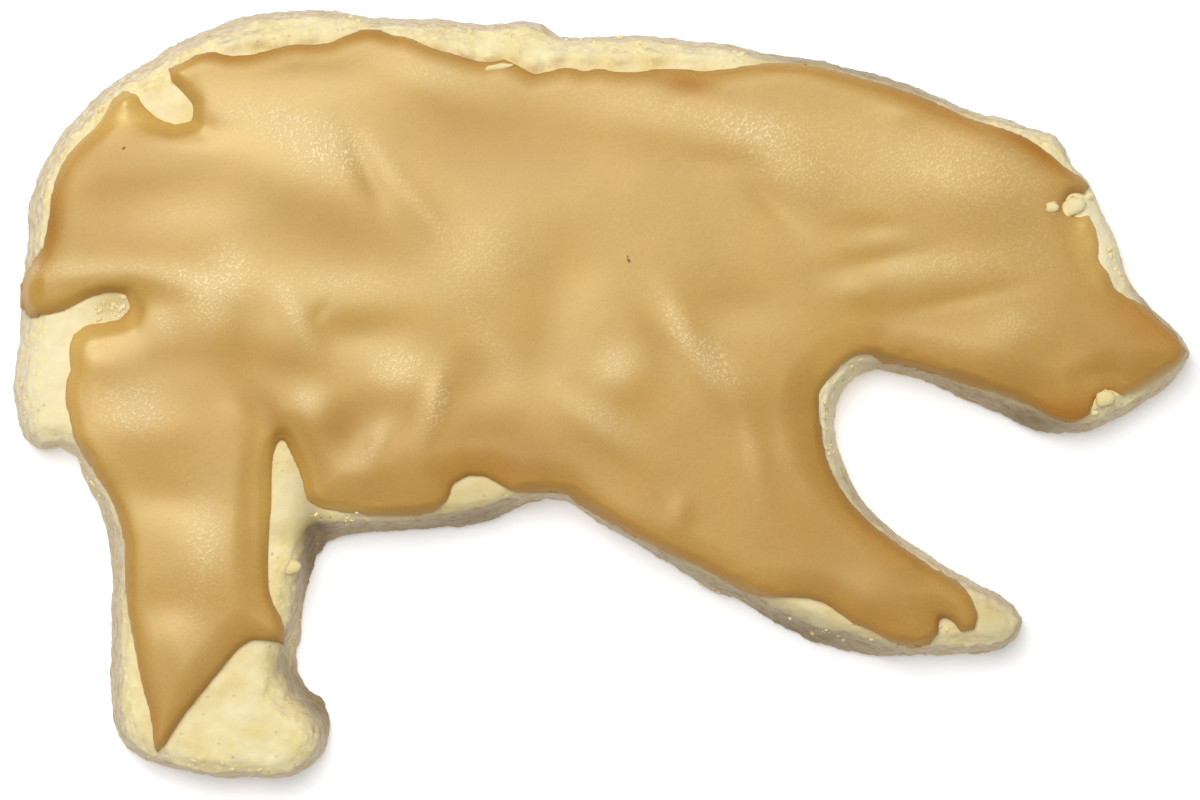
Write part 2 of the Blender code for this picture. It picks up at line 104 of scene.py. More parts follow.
@dataclass(frozen=True)
class Swell:
    """One swell or hollow, an oval hill of smooth flanks.

    x and y are its middle, along and across its half sizes, height its rise, all in
    millimetres, and turn its angle in degrees. Where swells stand for a colour, height is its
    strength, up to 1.
    """

    x: float
    y: float
    along: float
    across: float
    height: float
    turn: float = 0.0

    def at(self, points: np.ndarray) -> np.ndarray:
        """Give the rise at each point.

        Args:
            points: x and y of each point, in millimetres.

        Returns:
            The rise of this one swell, in millimetres.
        """
        offset = points - VIEW.under(np.array([[self.x, self.y]]), DOUGH_TOP)[0]
        angle = math.radians(self.turn)
        along = offset @ (math.cos(angle), math.sin(angle)) / self.along
        across = offset @ (-math.sin(angle), math.cos(angle)) / self.across
        return self.height * np.exp(-0.5 * (along * along + across * across))


def swells(*rows: tuple[float, ...]) -> tuple[Swell, ...]:
    """Make a swell of each row, which gives its values in their order."""
    return tuple(Swell(*row) for row in rows)


def heap(parts: tuple[Swell, ...], points: np.ndarray) -> np.ndarray:
    """Add up swells seen on the face.

    Args:
        parts: the swells and hollows.
        points: x and y of each point, in millimetres.

    Returns:
        The whole rise at each point.
    """
    total = np.zeros(len(points))
    for swell in parts:
        total += swell.at(points)
    return total


@dataclass(frozen=True)
class View:
    """Where the picture is taken from and what it takes in, in millimetres."""

    eye: tuple[float, float, float] = (-20.0, -12.0, 600.0)
    aim: tuple[float, float, float] = (-0.3, -0.6, 0.0)
    width: float = 120.0
    sensor: float = 36.0

    def under(self, points: np.ndarray, height: float) -> np.ndarray:
        """Bring points, placed as they look on the table, back to where they are at a height.

        Args:
            points: x and y of each point.
            height: how high above the table they are.

        Returns:
            x and y of each point at that height.
        """
        foot = np.array(self.eye[:2])
        return foot + (points - foot) * (1.0 - height / self.eye[2])

    def camera(self) -> Piece:
        """Make the camera, with +Y up in the picture.

        Returns:
            The camera, set as the scene's.
        """
        eye = Vector(self.eye) * MM
        ahead = Vector(self.aim) * MM - eye
        distance = ahead.length
        ahead.normalize()
        right = ahead.cross(Vector((0.0, 1.0, 0.0))).normalized()
        up = right.cross(ahead)
        turn = Matrix((right, up, -ahead)).transposed()
        bpy.ops.object.camera_add(location=eye, rotation=turn.to_euler())
        camera = bpy.context.object
        camera.name = "camera"
        camera.data.sensor_width = self.sensor
        camera.data.lens = self.sensor * distance / (self.width * MM)
        camera.data.clip_start = 0.01
        camera.data.clip_end = 20.0
        bpy.context.scene.camera = camera
        return camera


VIEW = View()


@dataclass(frozen=True)
class Ledge:
    """A line of the face from point to point, left of which the dough breaks down to its side.

    width is how far the break reaches and drop how deep it goes, in millimetres.
    """

    line: tuple[tuple[float, float], ...]
    width: float
    drop: float

    def fall(self, points: np.ndarray) -> np.ndarray:
        """Tell how far the face falls at each point.

        Args:
            points: x and y of each point, in millimetres.

        Returns:
            The fall of each point, in millimetres.
        """
        deepest = np.zeros(len(points))
        line = VIEW.under(np.array(self.line), DOUGH_TOP)
        for start, end in zip(line[:-1], line[1:]):
            run = end - start
            length = float(np.hypot(*run))
            along = (points - start) @ run / length
            beside = (points - start) @ (-run[1], run[0]) / length
            within = step(along, -0.5, 0.3) * (1.0 - step(along, length - 0.3, length + 0.5))
            near = 1.0 - step(beside, 3.4, 4.2)
            deepest = np.maximum(deepest, within * near * step(beside, 0.0, self.width))
        return self.drop * deepest


@dataclass(frozen=True)
class Outline:
    """The edge of a sheet from above, as loose stretches from starts to ends, in millimetres."""

    starts: np.ndarray
    ends: np.ndarray

    @classmethod
    def of_sheet(cls, piece: Piece) -> "Outline":
        """Find where the top of a sheet meets the upright wall that it ends in.

        Args:
            piece: a closed, merged mesh of an upper face, a lower face and an upright wall.

        Returns:
            The upper edge of that wall.
        """
        faces_up = {}
        for polygon in piece.data.polygons:
            for key in polygon.edge_keys:
                faces_up[key] = faces_up.get(key, 0) + (polygon.normal.z > FACES_UP)
        pairs = [key for key, count in faces_up.items() if count == 1]
        corners = coordinates(piece)[:, :2] / MM
        index = np.array(pairs)
        return cls(corners[index[:, 0]], corners[index[:, 1]])

    def depth(self, points: np.ndarray) -> np.ndarray:
        """Measure how far each point lies inside the outline; outside counts as negative.

        Args:
            points: x and y of each point, in millimetres.

        Returns:
            The depth of each point, in millimetres.
        """
        nearest = np.full(len(points), np.inf)
        inside = np.zeros(len(points), dtype=bool)
        for start, end in zip(self.starts, self.ends):
            run = end - start
            length = float(run @ run)
            if length == 0.0:
                continue
            offset = points - start
            share = np.clip(offset @ run / length, 0.0, 1.0)
            gap = offset - share[:, None] * run
            nearest = np.minimum(nearest, np.einsum("ij,ij->i", gap, gap))
            straddles = (start[1] > points[:, 1]) != (end[1] > points[:, 1])
            if run[1] != 0.0:
                crossing = start[0] + (points[:, 1] - start[1]) * run[0] / run[1]
                inside ^= straddles & (points[:, 0] < crossing)
        return np.where(inside, 1.0, -1.0) * np.sqrt(nearest)


def read(piece: Piece, value: str) -> np.ndarray:
    """Read a value of three numbers for each point of a piece.

    Args:
        piece: the piece.
        value: what to read, by Blender's name for it.

    Returns:
        The value of each point, one row each.
    """
    flat = np.empty(len(piece.data.vertices) * 3)
    piece.data.vertices.foreach_get(value, flat)
    return flat.reshape(-1, 3)


def coordinates(piece: Piece) -> np.ndarray:
    """Give the place of each point, in metres."""
    return read(piece, "co")


def normals(piece: Piece) -> np.ndarray:
    """Give the direction that each point faces."""
    return read(piece, "normal")


def place(piece: Piece, points: np.ndarray) -> None:
    """Move the points of a piece to these places, in metres."""
    piece.data.vertices.foreach_set("co", points.ravel())
    piece.data.update()


def step(values: np.ndarray, low: float, high: float) -> np.ndarray:
    """Rise smoothly from 0 at low to 1 at high."""
    share = np.clip((values - low) / (high - low), 0.0, 1.0)
    return share * share * (3.0 - 2.0 * share)


def pick(piece: Piece) -> None:
    """Select this piece alone and make it the active one.

    Args:
        piece: the piece.
    """
    bpy.ops.object.select_all(action="DESELECT")
    piece.select_set(True)
    bpy.context.view_layer.objects.active = piece


def copy_of_node(node: str, name: str) -> Piece:
    """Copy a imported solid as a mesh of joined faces, with no parent.

    Args:
        node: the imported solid's name.
        name: the new piece's name.

    Returns:
        The new piece, at the origin.
    """
    piece = bpy.data.objects.new(name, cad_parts[node].data.copy())
    bpy.context.scene.collection.objects.link(piece)
    piece.data.name = name
    piece.data.materials.clear()
    pick(piece)
    bpy.ops.object.mode_set(mode="EDIT")
    bpy.ops.mesh.select_all(action="SELECT")
    bpy.ops.mesh.remove_doubles(threshold=HAIR)
    bpy.ops.object.mode_set(mode="OBJECT")
    return piece


def finish_with(piece: Piece, kind: str, **settings: object) -> None:
    """Give a piece one modifier and apply it.

    Args:
        piece: the piece to change.
        kind: the modifier's type.
        settings: the modifier's values by name.
    """
    pick(piece)
    modifier = piece.modifiers.new(kind.lower(), kind)
    for name, value in settings.items():
        setattr(modifier, name, value)
    bpy.ops.object.modifier_apply(modifier=modifier.name)


def fine_copy(node: str, name: str, fineness: float, rounds: int) -> Piece:
    """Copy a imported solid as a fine, even mesh with softened edges.

    Args:
        node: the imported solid's name.
        name: the new piece's name.
        fineness: size of the mesh's faces, in millimetres.
        rounds: how many times its edges are softened.

    Returns:
        The new piece, at the origin.
    """
    piece = copy_of_node(node, name)
    finish_with(piece, "REMESH", mode="VOXEL", voxel_size=fineness * MM, adaptivity=0.0)
    finish_with(piece, "SMOOTH", factor=0.5, iterations=rounds)
    return piece


def weigh(piece: Piece, name: str, weights: np.ndarray) -> str:
    """Keep a weight for each point of a piece.

    Args:
        piece: the piece.
        name: name of the group of weights.
        weights: one value from 0 to 1 for each point.

    Returns:
        The group's name.
    """
    group = piece.vertex_groups.get(name) or piece.vertex_groups.new(name=name)
    levels = np.round(np.clip(weights, 0.0, 1.0) * LEVELS).astype(int)
    for level in range(LEVELS + 1):
        members = np.flatnonzero(levels == level)
        if len(members):
            group.add(members.tolist(), level / LEVELS, "REPLACE")
    return group.name


def mark(piece: Piece, kind: Mark, values: np.ndarray) -> None:
    """Keep a value for each point of a piece, for its finish to read."""
    layer = piece.data.attributes.new(kind.value, "FLOAT", "POINT")
    layer.data.foreach_set("value", np.clip(values, 0.0, 1.0).astype(np.float32))


def simplify(piece: Piece, hidden: np.ndarray, keep: float) -> None:
    """Thin out the points that are out of sight.

    Args:
        piece: the piece.
        hidden: for each point, whether it is out of sight.
        keep: the share of the hidden points to keep.
    """
    share = 1.0 - (1.0 - keep) * float(np.mean(hidden))
    group = weigh(piece, "hidden", hidden.astype(float))
    finish_with(piece, "DECIMATE", decimate_type="COLLAPSE", ratio=share, vertex_group=group)


def roughen(piece: Piece, size: float, strength: float, group: str = "",
            depth: int = 2) -> None:
    """Push the points of a piece out and in by a cloudy pattern.

    Args:
        piece: the piece.
        size: size of the pattern's lumps, in millimetres.
        strength: how far apart it pushes them at most, in millimetres.
        group: name of the group of weights, where not all points take part.
        depth: how many finer patterns are laid over it.
    """
    pattern = bpy.data.textures.new("clouds", "CLOUDS")
    pattern.noise_scale = size * MM
    pattern.noise_depth = depth
    finish_with(piece, "DISPLACE", texture=pattern, strength=strength * MM, mid_level=0.5,
                vertex_group=group, texture_coords="LOCAL")


def solid_of(piece: Piece) -> BVHTree:
    """Get a piece ready to be felt."""
    return BVHTree.FromObject(piece, bpy.context.evaluated_depsgraph_get())


def feel(solid: BVHTree, x: float, y: float, side: float = 1.0) -> float:
    """Feel for a solid's surface at one place.

    Args:
        solid: the solid.
        x: the place along, in millimetres.
        y: the place across.
        side: 1 to feel from above, -1 from below.

    Returns:
        The surface's height in millimetres, or nan where there is none.
    """
    start = Vector((x * MM, y * MM, side * WELL_ABOVE))
    spot = solid.ray_cast(start, UP * -side)[0]
    return math.nan if spot is None else spot.z / MM


def dress(piece: Piece, material: bpy.types.Material) -> None:
    """Hold a piece in the box, give it its finish and let it ride on the one body.

    Args:
        piece: the piece.
        material: its finish.
    """
    low = np.array(CAD_BOX[0]) + (HAIR, HAIR, 0.0)
    high = np.array(CAD_BOX[1]) - HAIR
    place(piece, np.clip(coordinates(piece), low, high))
    pick(piece)
    bpy.ops.object.shade_smooth()
    piece.data.materials.clear()
    piece.data.materials.append(material)
    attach(piece, BODY)
    report.info("%s: %d points, %d faces", piece.name, len(piece.data.vertices),
                len(piece.data.polygons))


class Recipe:
    """A finish put together node by node, read in real size from the piece itself."""

    def __init__(self, name: str) -> None:
        """Start from a plain shader.

        Args:
            name: name of the material.
        """
        self.material = bpy.data.materials.new(name)
        self.material.use_nodes = True
        self.tree = self.material.node_tree
        self.shader = self.tree.nodes["Principled BSDF"]
        self.places = self.add("ShaderNodeTexCoord").outputs["Object"]

    def add(self, kind: str, **settings: object) -> bpy.types.Node:
        """Add a node.

        Args:
            kind: the node's type.
            settings: its values by name.

        Returns:
            The node.
        """
        node = self.tree.nodes.new(kind)
        for name, value in settings.items():
            setattr(node, name, value)
        return node

    def feed(self, socket: bpy.types.NodeSocket, value: object) -> None:
        """Link a socket to another, or set it to a plain value.

        Args:
            socket: the socket to feed.
            value: the other socket or the value.
        """
        if isinstance(value, bpy.types.NodeSocket):
            self.tree.links.new(value, socket)
        else:
            socket.default_value = value

    def noise(self, size: float, detail: float = 2.0, stretch: Vector | None = None) -> object:
        """Make a soft noise.

        Args:
            size: size of its lumps, in millimetres.
            detail: how many finer noises lie over it.
            stretch: how much it is squeezed along each axis, if it is.

        Returns:
            The socket that gives it, from 0 to 1.
        """
        node = self.add("ShaderNodeTexNoise")
        places = self.places
        if stretch is not None:
            mapping = self.add("ShaderNodeMapping")
            self.feed(mapping.inputs["Vector"], places)
            mapping.inputs["Scale"].default_value = stretch
            places = mapping.outputs["Vector"]
        self.feed(node.inputs["Vector"], places)
        node.inputs["Scale"].default_value = 1.0 / (size * MM)
        node.inputs["Detail"].default_value = detail
        return node.outputs["Fac"]

    def cells(self, size: float) -> object:
        """Make a pattern of cells.

        Args:
            size: size of the cells, in millimetres.

        Returns:
            The socket that gives the distance to each cell's middle.
        """
        node = self.add("ShaderNodeTexVoronoi")
        self.feed(node.inputs["Vector"], self.places)
        node.inputs["Scale"].default_value = 1.0 / (size * MM)
        return node.outputs["Distance"]

    def marked(self, kind: Mark) -> object:
        """Read a value kept on the points of the piece."""
        return self.add("ShaderNodeAttribute", attribute_name=kind.value).outputs["Fac"]

    def spread(self, value: object, low: float, high: float, start: float = 0.0,
               end: float = 1.0) -> object:
        """Spread one range of a value over another.

        Args:
            value: the value.
            low: start of its range.
            high: end of its range.
            start: what low becomes.
            end: what high becomes.

        Returns:
            The socket that gives the new value.
        """
        node = self.add("ShaderNodeMapRange")
        self.feed(node.inputs["Value"], value)
        for name, number in (("From Min", low), ("From Max", high), ("To Min", start),
                             ("To Max", end)):
            node.inputs[name].default_value = number
        return node.outputs["Result"]

    def combine(self, first: object, second: object, operation: str = "MULTIPLY") -> object:
        """Multiply two values, or work out another sum of them.

        Args:
            first: a socket or a number.
            second: the other one.
            operation: what is done with them.

        Returns:
            The socket that gives the result.
        """
        node = self.add("ShaderNodeMath", operation=operation)
        self.feed(node.inputs[0], first)
        self.feed(node.inputs[1], second)
        return node.outputs[0]

    def mix(self, share: object, first: object, second: object, blend: str = "MIX") -> object:
        """Mix two colours.

        Args:
            share: how much of the second colour there is, from 0 to 1.
            first: the colour below, a socket or an opaque colour.
            second: the colour above.
            blend: how they mix.

        Returns:
            The socket that gives the mixed colour.
        """
        node = self.add("ShaderNodeMix", data_type="RGBA", blend_type=blend)
        self.feed(node.inputs["Factor"], share)
        self.feed(node.inputs[6], first)
        self.feed(node.inputs[7], second)
        return node.outputs[2]

    def bump(self, height: object, depth: float, below: object | None = None) -> object:
        """Turn a height into fine relief.

        Args:
            height: the height, from 0 to 1.
            depth: what a height of 1 stands for, in millimetres.
            below: relief that this one lies on.

        Returns:
            The socket that gives the turned normal.
        """
        node = self.add("ShaderNodeBump")
        self.feed(node.inputs["Height"], height)
        node.inputs["Distance"].default_value = depth * MM
        if below is not None:
            self.feed(node.inputs["Normal"], below)
        return node.outputs["Normal"]

    def settle(self, **values: object) -> bpy.types.Material:
        """Set the shader's own sockets, named with spaces for underscores.

        Args:
            values: a plain value or a socket for each.

        Returns:
            The finished material.
        """
        for name, value in values.items():
            self.feed(self.shader.inputs[name.replace("_", " ")], value)
        return self.material


def tint(red: int, green: int, blue: int) -> tuple[float, float, float, float]:
    """Turn a colour of a colour chart into the light that it sends back.

    Args:
        red: how red it is, 0 to 255.
        green: how green it is.
        blue: how blue it is.

    Returns:
        The opaque colour, as a material takes it.
    """
    parts = []
    for level in (red, green, blue):
        share = level / 255.0
        parts.append(share / 12.92 if share <= 0.04045 else ((share + 0.055) / 1.055) ** 2.4)
    return (*parts, 1.0)


@dataclass(frozen=True)
class CaramelFinish:
    """Satin caramel icing: darker at its rim, partly deeper caramel and partly painted shade; yellow
    where thin, lifted a little as painted light; browner with stains and painted shade; pale and
    sugary on its swells, with painted highlights.
    """

    body: tuple = tint(194, 149, 67)
    # Darker, deeper caramel near the rim, partly painted shade of the rim that slopes away from the
    # light.
    rim: tuple = tint(186, 137, 58)
    # Yellower where the icing is thin and the dough shows through, lifted a little as painted light
    # on the sloping thin edges.
    thin: tuple = tint(218, 177, 92)
    # Browner caramel: stains where it set browner, and painted shade in hollows and along the upper
    # rims.
    stain_and_shade: tuple = tint(172, 112, 26)
    # Pale sugary caramel, also a painted highlight where the satin sheen would shine.
    bloom_and_highlight: tuple = tint(236, 211, 160)
    shine: tuple = (1.0, 0.95, 0.62, 1.0)
    mottle: float = 7.0
    grain: float = 0.28
    speckle: float = 0.24
    ripple: float = 1.6
    roughness: float = 0.38

    def material(self) -> bpy.types.Material:
        """Build the material.

        Returns:
            The icing's material.
        """
        recipe = Recipe("caramel_icing_finish")
        rim = recipe.marked(Mark.RIM)
        stain_and_shade = recipe.marked(Mark.STAIN)
        sugar_and_highlight = recipe.marked(Mark.SUGAR)
        grains = recipe.spread(recipe.noise(self.grain, 2.0), 0.5, 0.65)
        # Near the rim the colour darkens: partly deeper caramel, partly painted shade.
        colour = recipe.mix(rim, self.body, self.rim)
        colour = recipe.mix(recipe.marked(Mark.THIN), colour, self.thin)
        # Pale sugar bloom with its flecks, partly a painted highlight of the satin sheen.
        flecks = recipe.combine(grains, recipe.spread(sugar_and_highlight, 0.1, 0.7, 0.3, 1.0))
        pale = recipe.combine(sugar_and_highlight, recipe.spread(flecks, 0.0, 1.0, 0.24, 0.88))
        colour = recipe.mix(pale, colour, self.bloom_and_highlight)
        # Browner where stained, and painted shade in the hollows and along the upper rims.
        colour = recipe.mix(stain_and_shade, colour, self.stain_and_shade)
        patchy = recipe.spread(recipe.noise(self.mottle, 3.0), 0.3, 0.7, 0.93, 1.06)
        fine = recipe.spread(recipe.noise(self.speckle, 2.0), 0.25, 0.75, 0.93, 1.07)
        shade = recipe.combine(patchy, fine)
        grey = recipe.add("ShaderNodeCombineColor")
        for channel in ("Red", "Green", "Blue"):
            recipe.feed(grey.inputs[channel], shade)
        colour = recipe.mix(1.0, colour, grey.outputs["Color"], "MULTIPLY")
        relief = recipe.bump(recipe.combine(flecks, sugar_and_highlight), 0.010)
        relief = recipe.bump(recipe.noise(self.speckle, 1.0), 0.004, relief)
        relief = recipe.bump(recipe.noise(self.ripple, 2.0), 0.007, relief)
        rough = recipe.spread(rim, 0.0, 1.0, 0.0, 0.3)
        rough = recipe.combine(rough, self.roughness, "ADD")
        rough = recipe.combine(recipe.spread(stain_and_shade, 0.0, 1.0, 0.0, 0.2), rough, "ADD")
        return recipe.settle(Base_Color=colour, Roughness=rough, Normal=relief,
                             Specular_IOR_Level=0.95, Specular_Tint=self.shine)


@dataclass(frozen=True)
class DoughFinish:
    """Pale baked dough: creamy on top, rougher where it was cut and greyer there, partly as painted
    cool shade of the upright side; paler and darker in places with painted light and shade, and with
    painted glints on the bare shoulder.
    """

    top: tuple = tint(241, 221, 158)
    pale: tuple = tint(250, 237, 190)
    # The cut side's colour, greyer than the top, partly as painted cool shade of the upright side.
    side: tuple = tint(228, 213, 184)
    toasted: tuple = tint(196, 164, 108)
    # Multiplied in where the dough is darker: mostly painted shade, elsewhere a duller tone.
    shade_and_browning_tint: tuple = (0.44, 0.40, 0.34, 1.0)
    # Colour of the painted glints on the bare shoulder.
    glint_colour: tuple = tint(255, 240, 172)
    # Colour of paler dough, mostly painted light on walls turned from the light.
    cream_and_light_tint: tuple = tint(253, 242, 204)
    pore: tuple = tint(186, 160, 108)
    patch_size: float = 3.2
    crumb_size: float = 1.1
    pore_size: float = 0.9
    glint_size: float = 0.6
    grit_size: float = 0.5
    roughness: float = 0.82

    def material(self) -> bpy.types.Material:
        """Build the material.

        Returns:
            The dough's material.
        """
        recipe = Recipe("baked_dough_finish")
        patches = recipe.spread(recipe.noise(self.patch_size, 3.0), 0.38, 0.68)
        colour = recipe.mix(patches, self.top, self.pale)
        side = recipe.marked(Mark.SIDE)
        crumb = recipe.noise(self.crumb_size, 3.0, Vector((1.0, 1.0, 2.0)))
        crumb = recipe.spread(crumb, 0.35, 0.7)
        cut = recipe.mix(crumb, self.side, self.toasted)
        cut = recipe.mix(recipe.spread(crumb, 0.0, 1.0, 0.62, 0.14), cut, self.side)
        # The cut side, greyer partly as painted cool shade.
        colour = recipe.mix(side, colour, cut)
        # Paler dough: painted light on shaded walls, and a paler tone elsewhere.
        colour = recipe.mix(recipe.marked(Mark.CREAM), colour, self.cream_and_light_tint)
        # Darker dough: mostly painted shade on sides turned from the light and between crumbs.
        shaded_and_browned = recipe.marked(Mark.BROWNED)
        colour = recipe.mix(shaded_and_browned, colour, self.shade_and_browning_tint, "MULTIPLY")
        pores = recipe.spread(recipe.cells(self.pore_size), 0.10, 0.24, 0.36, 0.0)
        pores = recipe.combine(pores, recipe.spread(recipe.noise(2.4, 1.0), 0.5, 0.62))
        colour = recipe.mix(pores, colour, self.pore)
        # Painted glints: bright yellow specks on the bare shoulder, left off the dough in painted
        # shade.
        glints = recipe.combine(recipe.spread(recipe.noise(self.glint_size, 2.0), 0.5, 0.64),
                                recipe.spread(shaded_and_browned, 0.0, 0.3, 0.85, 0.0))
        glints = recipe.combine(glints, recipe.marked(Mark.GLOSS))
        colour = recipe.mix(glints, colour, self.glint_colour)
        relief = recipe.bump(recipe.noise(self.grit_size, 3.0), 0.07)
        relief = recipe.bump(recipe.spread(pores, 0.0, 0.36, 1.0, 0.0), 0.05, relief)
        rough = recipe.spread(glints, 0.0, 1.0, self.roughness, 0.4)
        return recipe.settle(Base_Color=colour, Roughness=rough, Normal=relief,
                             Specular_IOR_Level=0.35)


@dataclass(frozen=True)
class GrainFinish:
    """A dark grain baked into the surface."""

    dark: tuple = tint(110, 80, 42)
    light: tuple = tint(146, 128, 84)

    def material(self) -> bpy.types.Material:
        """Build the material.

        Returns:
            The grains' material.
        """
        recipe = Recipe("dark_grain_finish")
        colour = recipe.mix(recipe.noise(0.12, 2.0), self.dark, self.light)
        relief = recipe.bump(recipe.noise(0.08, 1.0), 0.02)
        return recipe.settle(Base_Color=colour, Roughness=0.6, Normal=relief)


@dataclass
class Dough:
    """The baked dough: a flat foot, a crumbly cut side and a bare top where no icing lies."""

    fineness: float = 0.32
    rounds: int = 2
    covered: float = 1.0
    hidden_share: float = 0.06
    side_crumb: tuple = ((2.6, 0.36), (0.9, 0.30), (0.42, 0.22))
    top_crumb: tuple = ((2.1, 0.52), (1.0, 0.30))
    lumps: tuple = ()
    shaded_and_browned: tuple = ()
    creamy_and_lit: tuple = ()
    ledges: tuple = ()
    finish: DoughFinish = DoughFinish()

    def build(self, icing: Outline) -> Piece:
        """Build the dough.

        Args:
            icing: the edge of the icing.

        Returns:
            The finished piece.
        """
        piece = fine_copy("biscuit", "sugar_dough", self.fineness, self.rounds)
        self.break_ledges(piece)
        depth = icing.depth(coordinates(piece)[:, :2] / MM)
        self.thin_out(piece, depth)
        self.crumble(piece, icing)
        self.raise_lumps(piece)
        self.keep_marks(piece, icing)
        dress(piece, self.finish.material())
        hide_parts("biscuit")
        return piece

    def break_ledges(self, piece: Piece) -> None:
        """Let the face fall away beyond its ledges, with the foot held in its place.

        Args:
            piece: the dough.
        """
        points = coordinates(piece)
        falls = [ledge.fall(points[:, :2] / MM) for ledge in self.ledges]
        deepest = np.max(falls, axis=0)
        points[:, 2] *= 1.0 - deepest / DOUGH_TOP
        place(piece, points)

    def thin_out(self, piece: Piece, depth: np.ndarray) -> None:
        """Join the small faces under the icing and under the foot.

        Args:
            piece: the dough.
            depth: how far inside the icing's edge each point lies, in millimetres.
        """
        facing = normals(piece)[:, 2]
        height = coordinates(piece)[:, 2] / MM
        foot = (facing < -0.95) & (height < 0.3)
        under_icing = (facing > 0.95) & (depth > self.covered)
        simplify(piece, foot | under_icing, self.hidden_share)

    def crumble(self, piece: Piece, icing: Outline) -> None:
        """Give the cut side and the bare top their crumb.

        Args:
            piece: the dough.
            icing: the edge of the icing.
        """
        depth = icing.depth(coordinates(piece)[:, :2] / MM)
        facing = normals(piece)[:, 2]
        height = coordinates(piece)[:, 2] / MM
        upright = 1.0 - step(np.abs(facing), 0.55, 0.9)
        bare = 1.0 - step(depth, -0.4, 0.3)
        side = weigh(piece, "side", upright * step(height, 0.0, 0.6) * (0.35 + 0.65 * bare))
        top = weigh(piece, "top", step(facing, 0.6, 0.9) * bare)
        for size, strength in self.side_crumb:
            roughen(piece, size, strength, side)
        for size, strength in self.top_crumb:
            roughen(piece, size, strength, top)

    def raise_lumps(self, piece: Piece) -> None:
        """Raise the knobs and soft lumps of the bare dough.

        Args:
            piece: the dough.
        """
        points = coordinates(piece)
        facing = step(normals(piece)[:, 2], 0.3, 0.8)
        points[:, 2] += heap(self.lumps, points[:, :2] / MM) * facing * MM
        place(piece, points)

    def keep_marks(self, piece: Piece, icing: Outline) -> None:
        """Keep where the side is, the shoulder that takes painted glints, the darker dough with its
        painted shade, and the paler dough with its painted light.

        Args:
            piece: the dough.
            icing: the edge of the icing.
        """
        points = coordinates(piece) / MM
        facing = normals(piece)[:, 2]
        depth = icing.depth(points[:, :2])
        side = 1.0 - step(facing, 0.35, 0.8)
        shoulder = step(facing, 0.2, 0.7) * (1.0 - step(facing, 0.93, 0.995))
        mark(piece, Mark.SIDE, side)
        # The shoulder of bare dough, where the glints are painted.
        mark(piece, Mark.GLOSS, shoulder * (depth < 0.0))
        # Darker dough, mostly painted shade.
        mark(piece, Mark.BROWNED, heap(self.shaded_and_browned, points[:, :2]))
        # Paler dough, mostly painted light.
        mark(piece, Mark.CREAM, heap(self.creamy_and_lit, points[:, :2]))


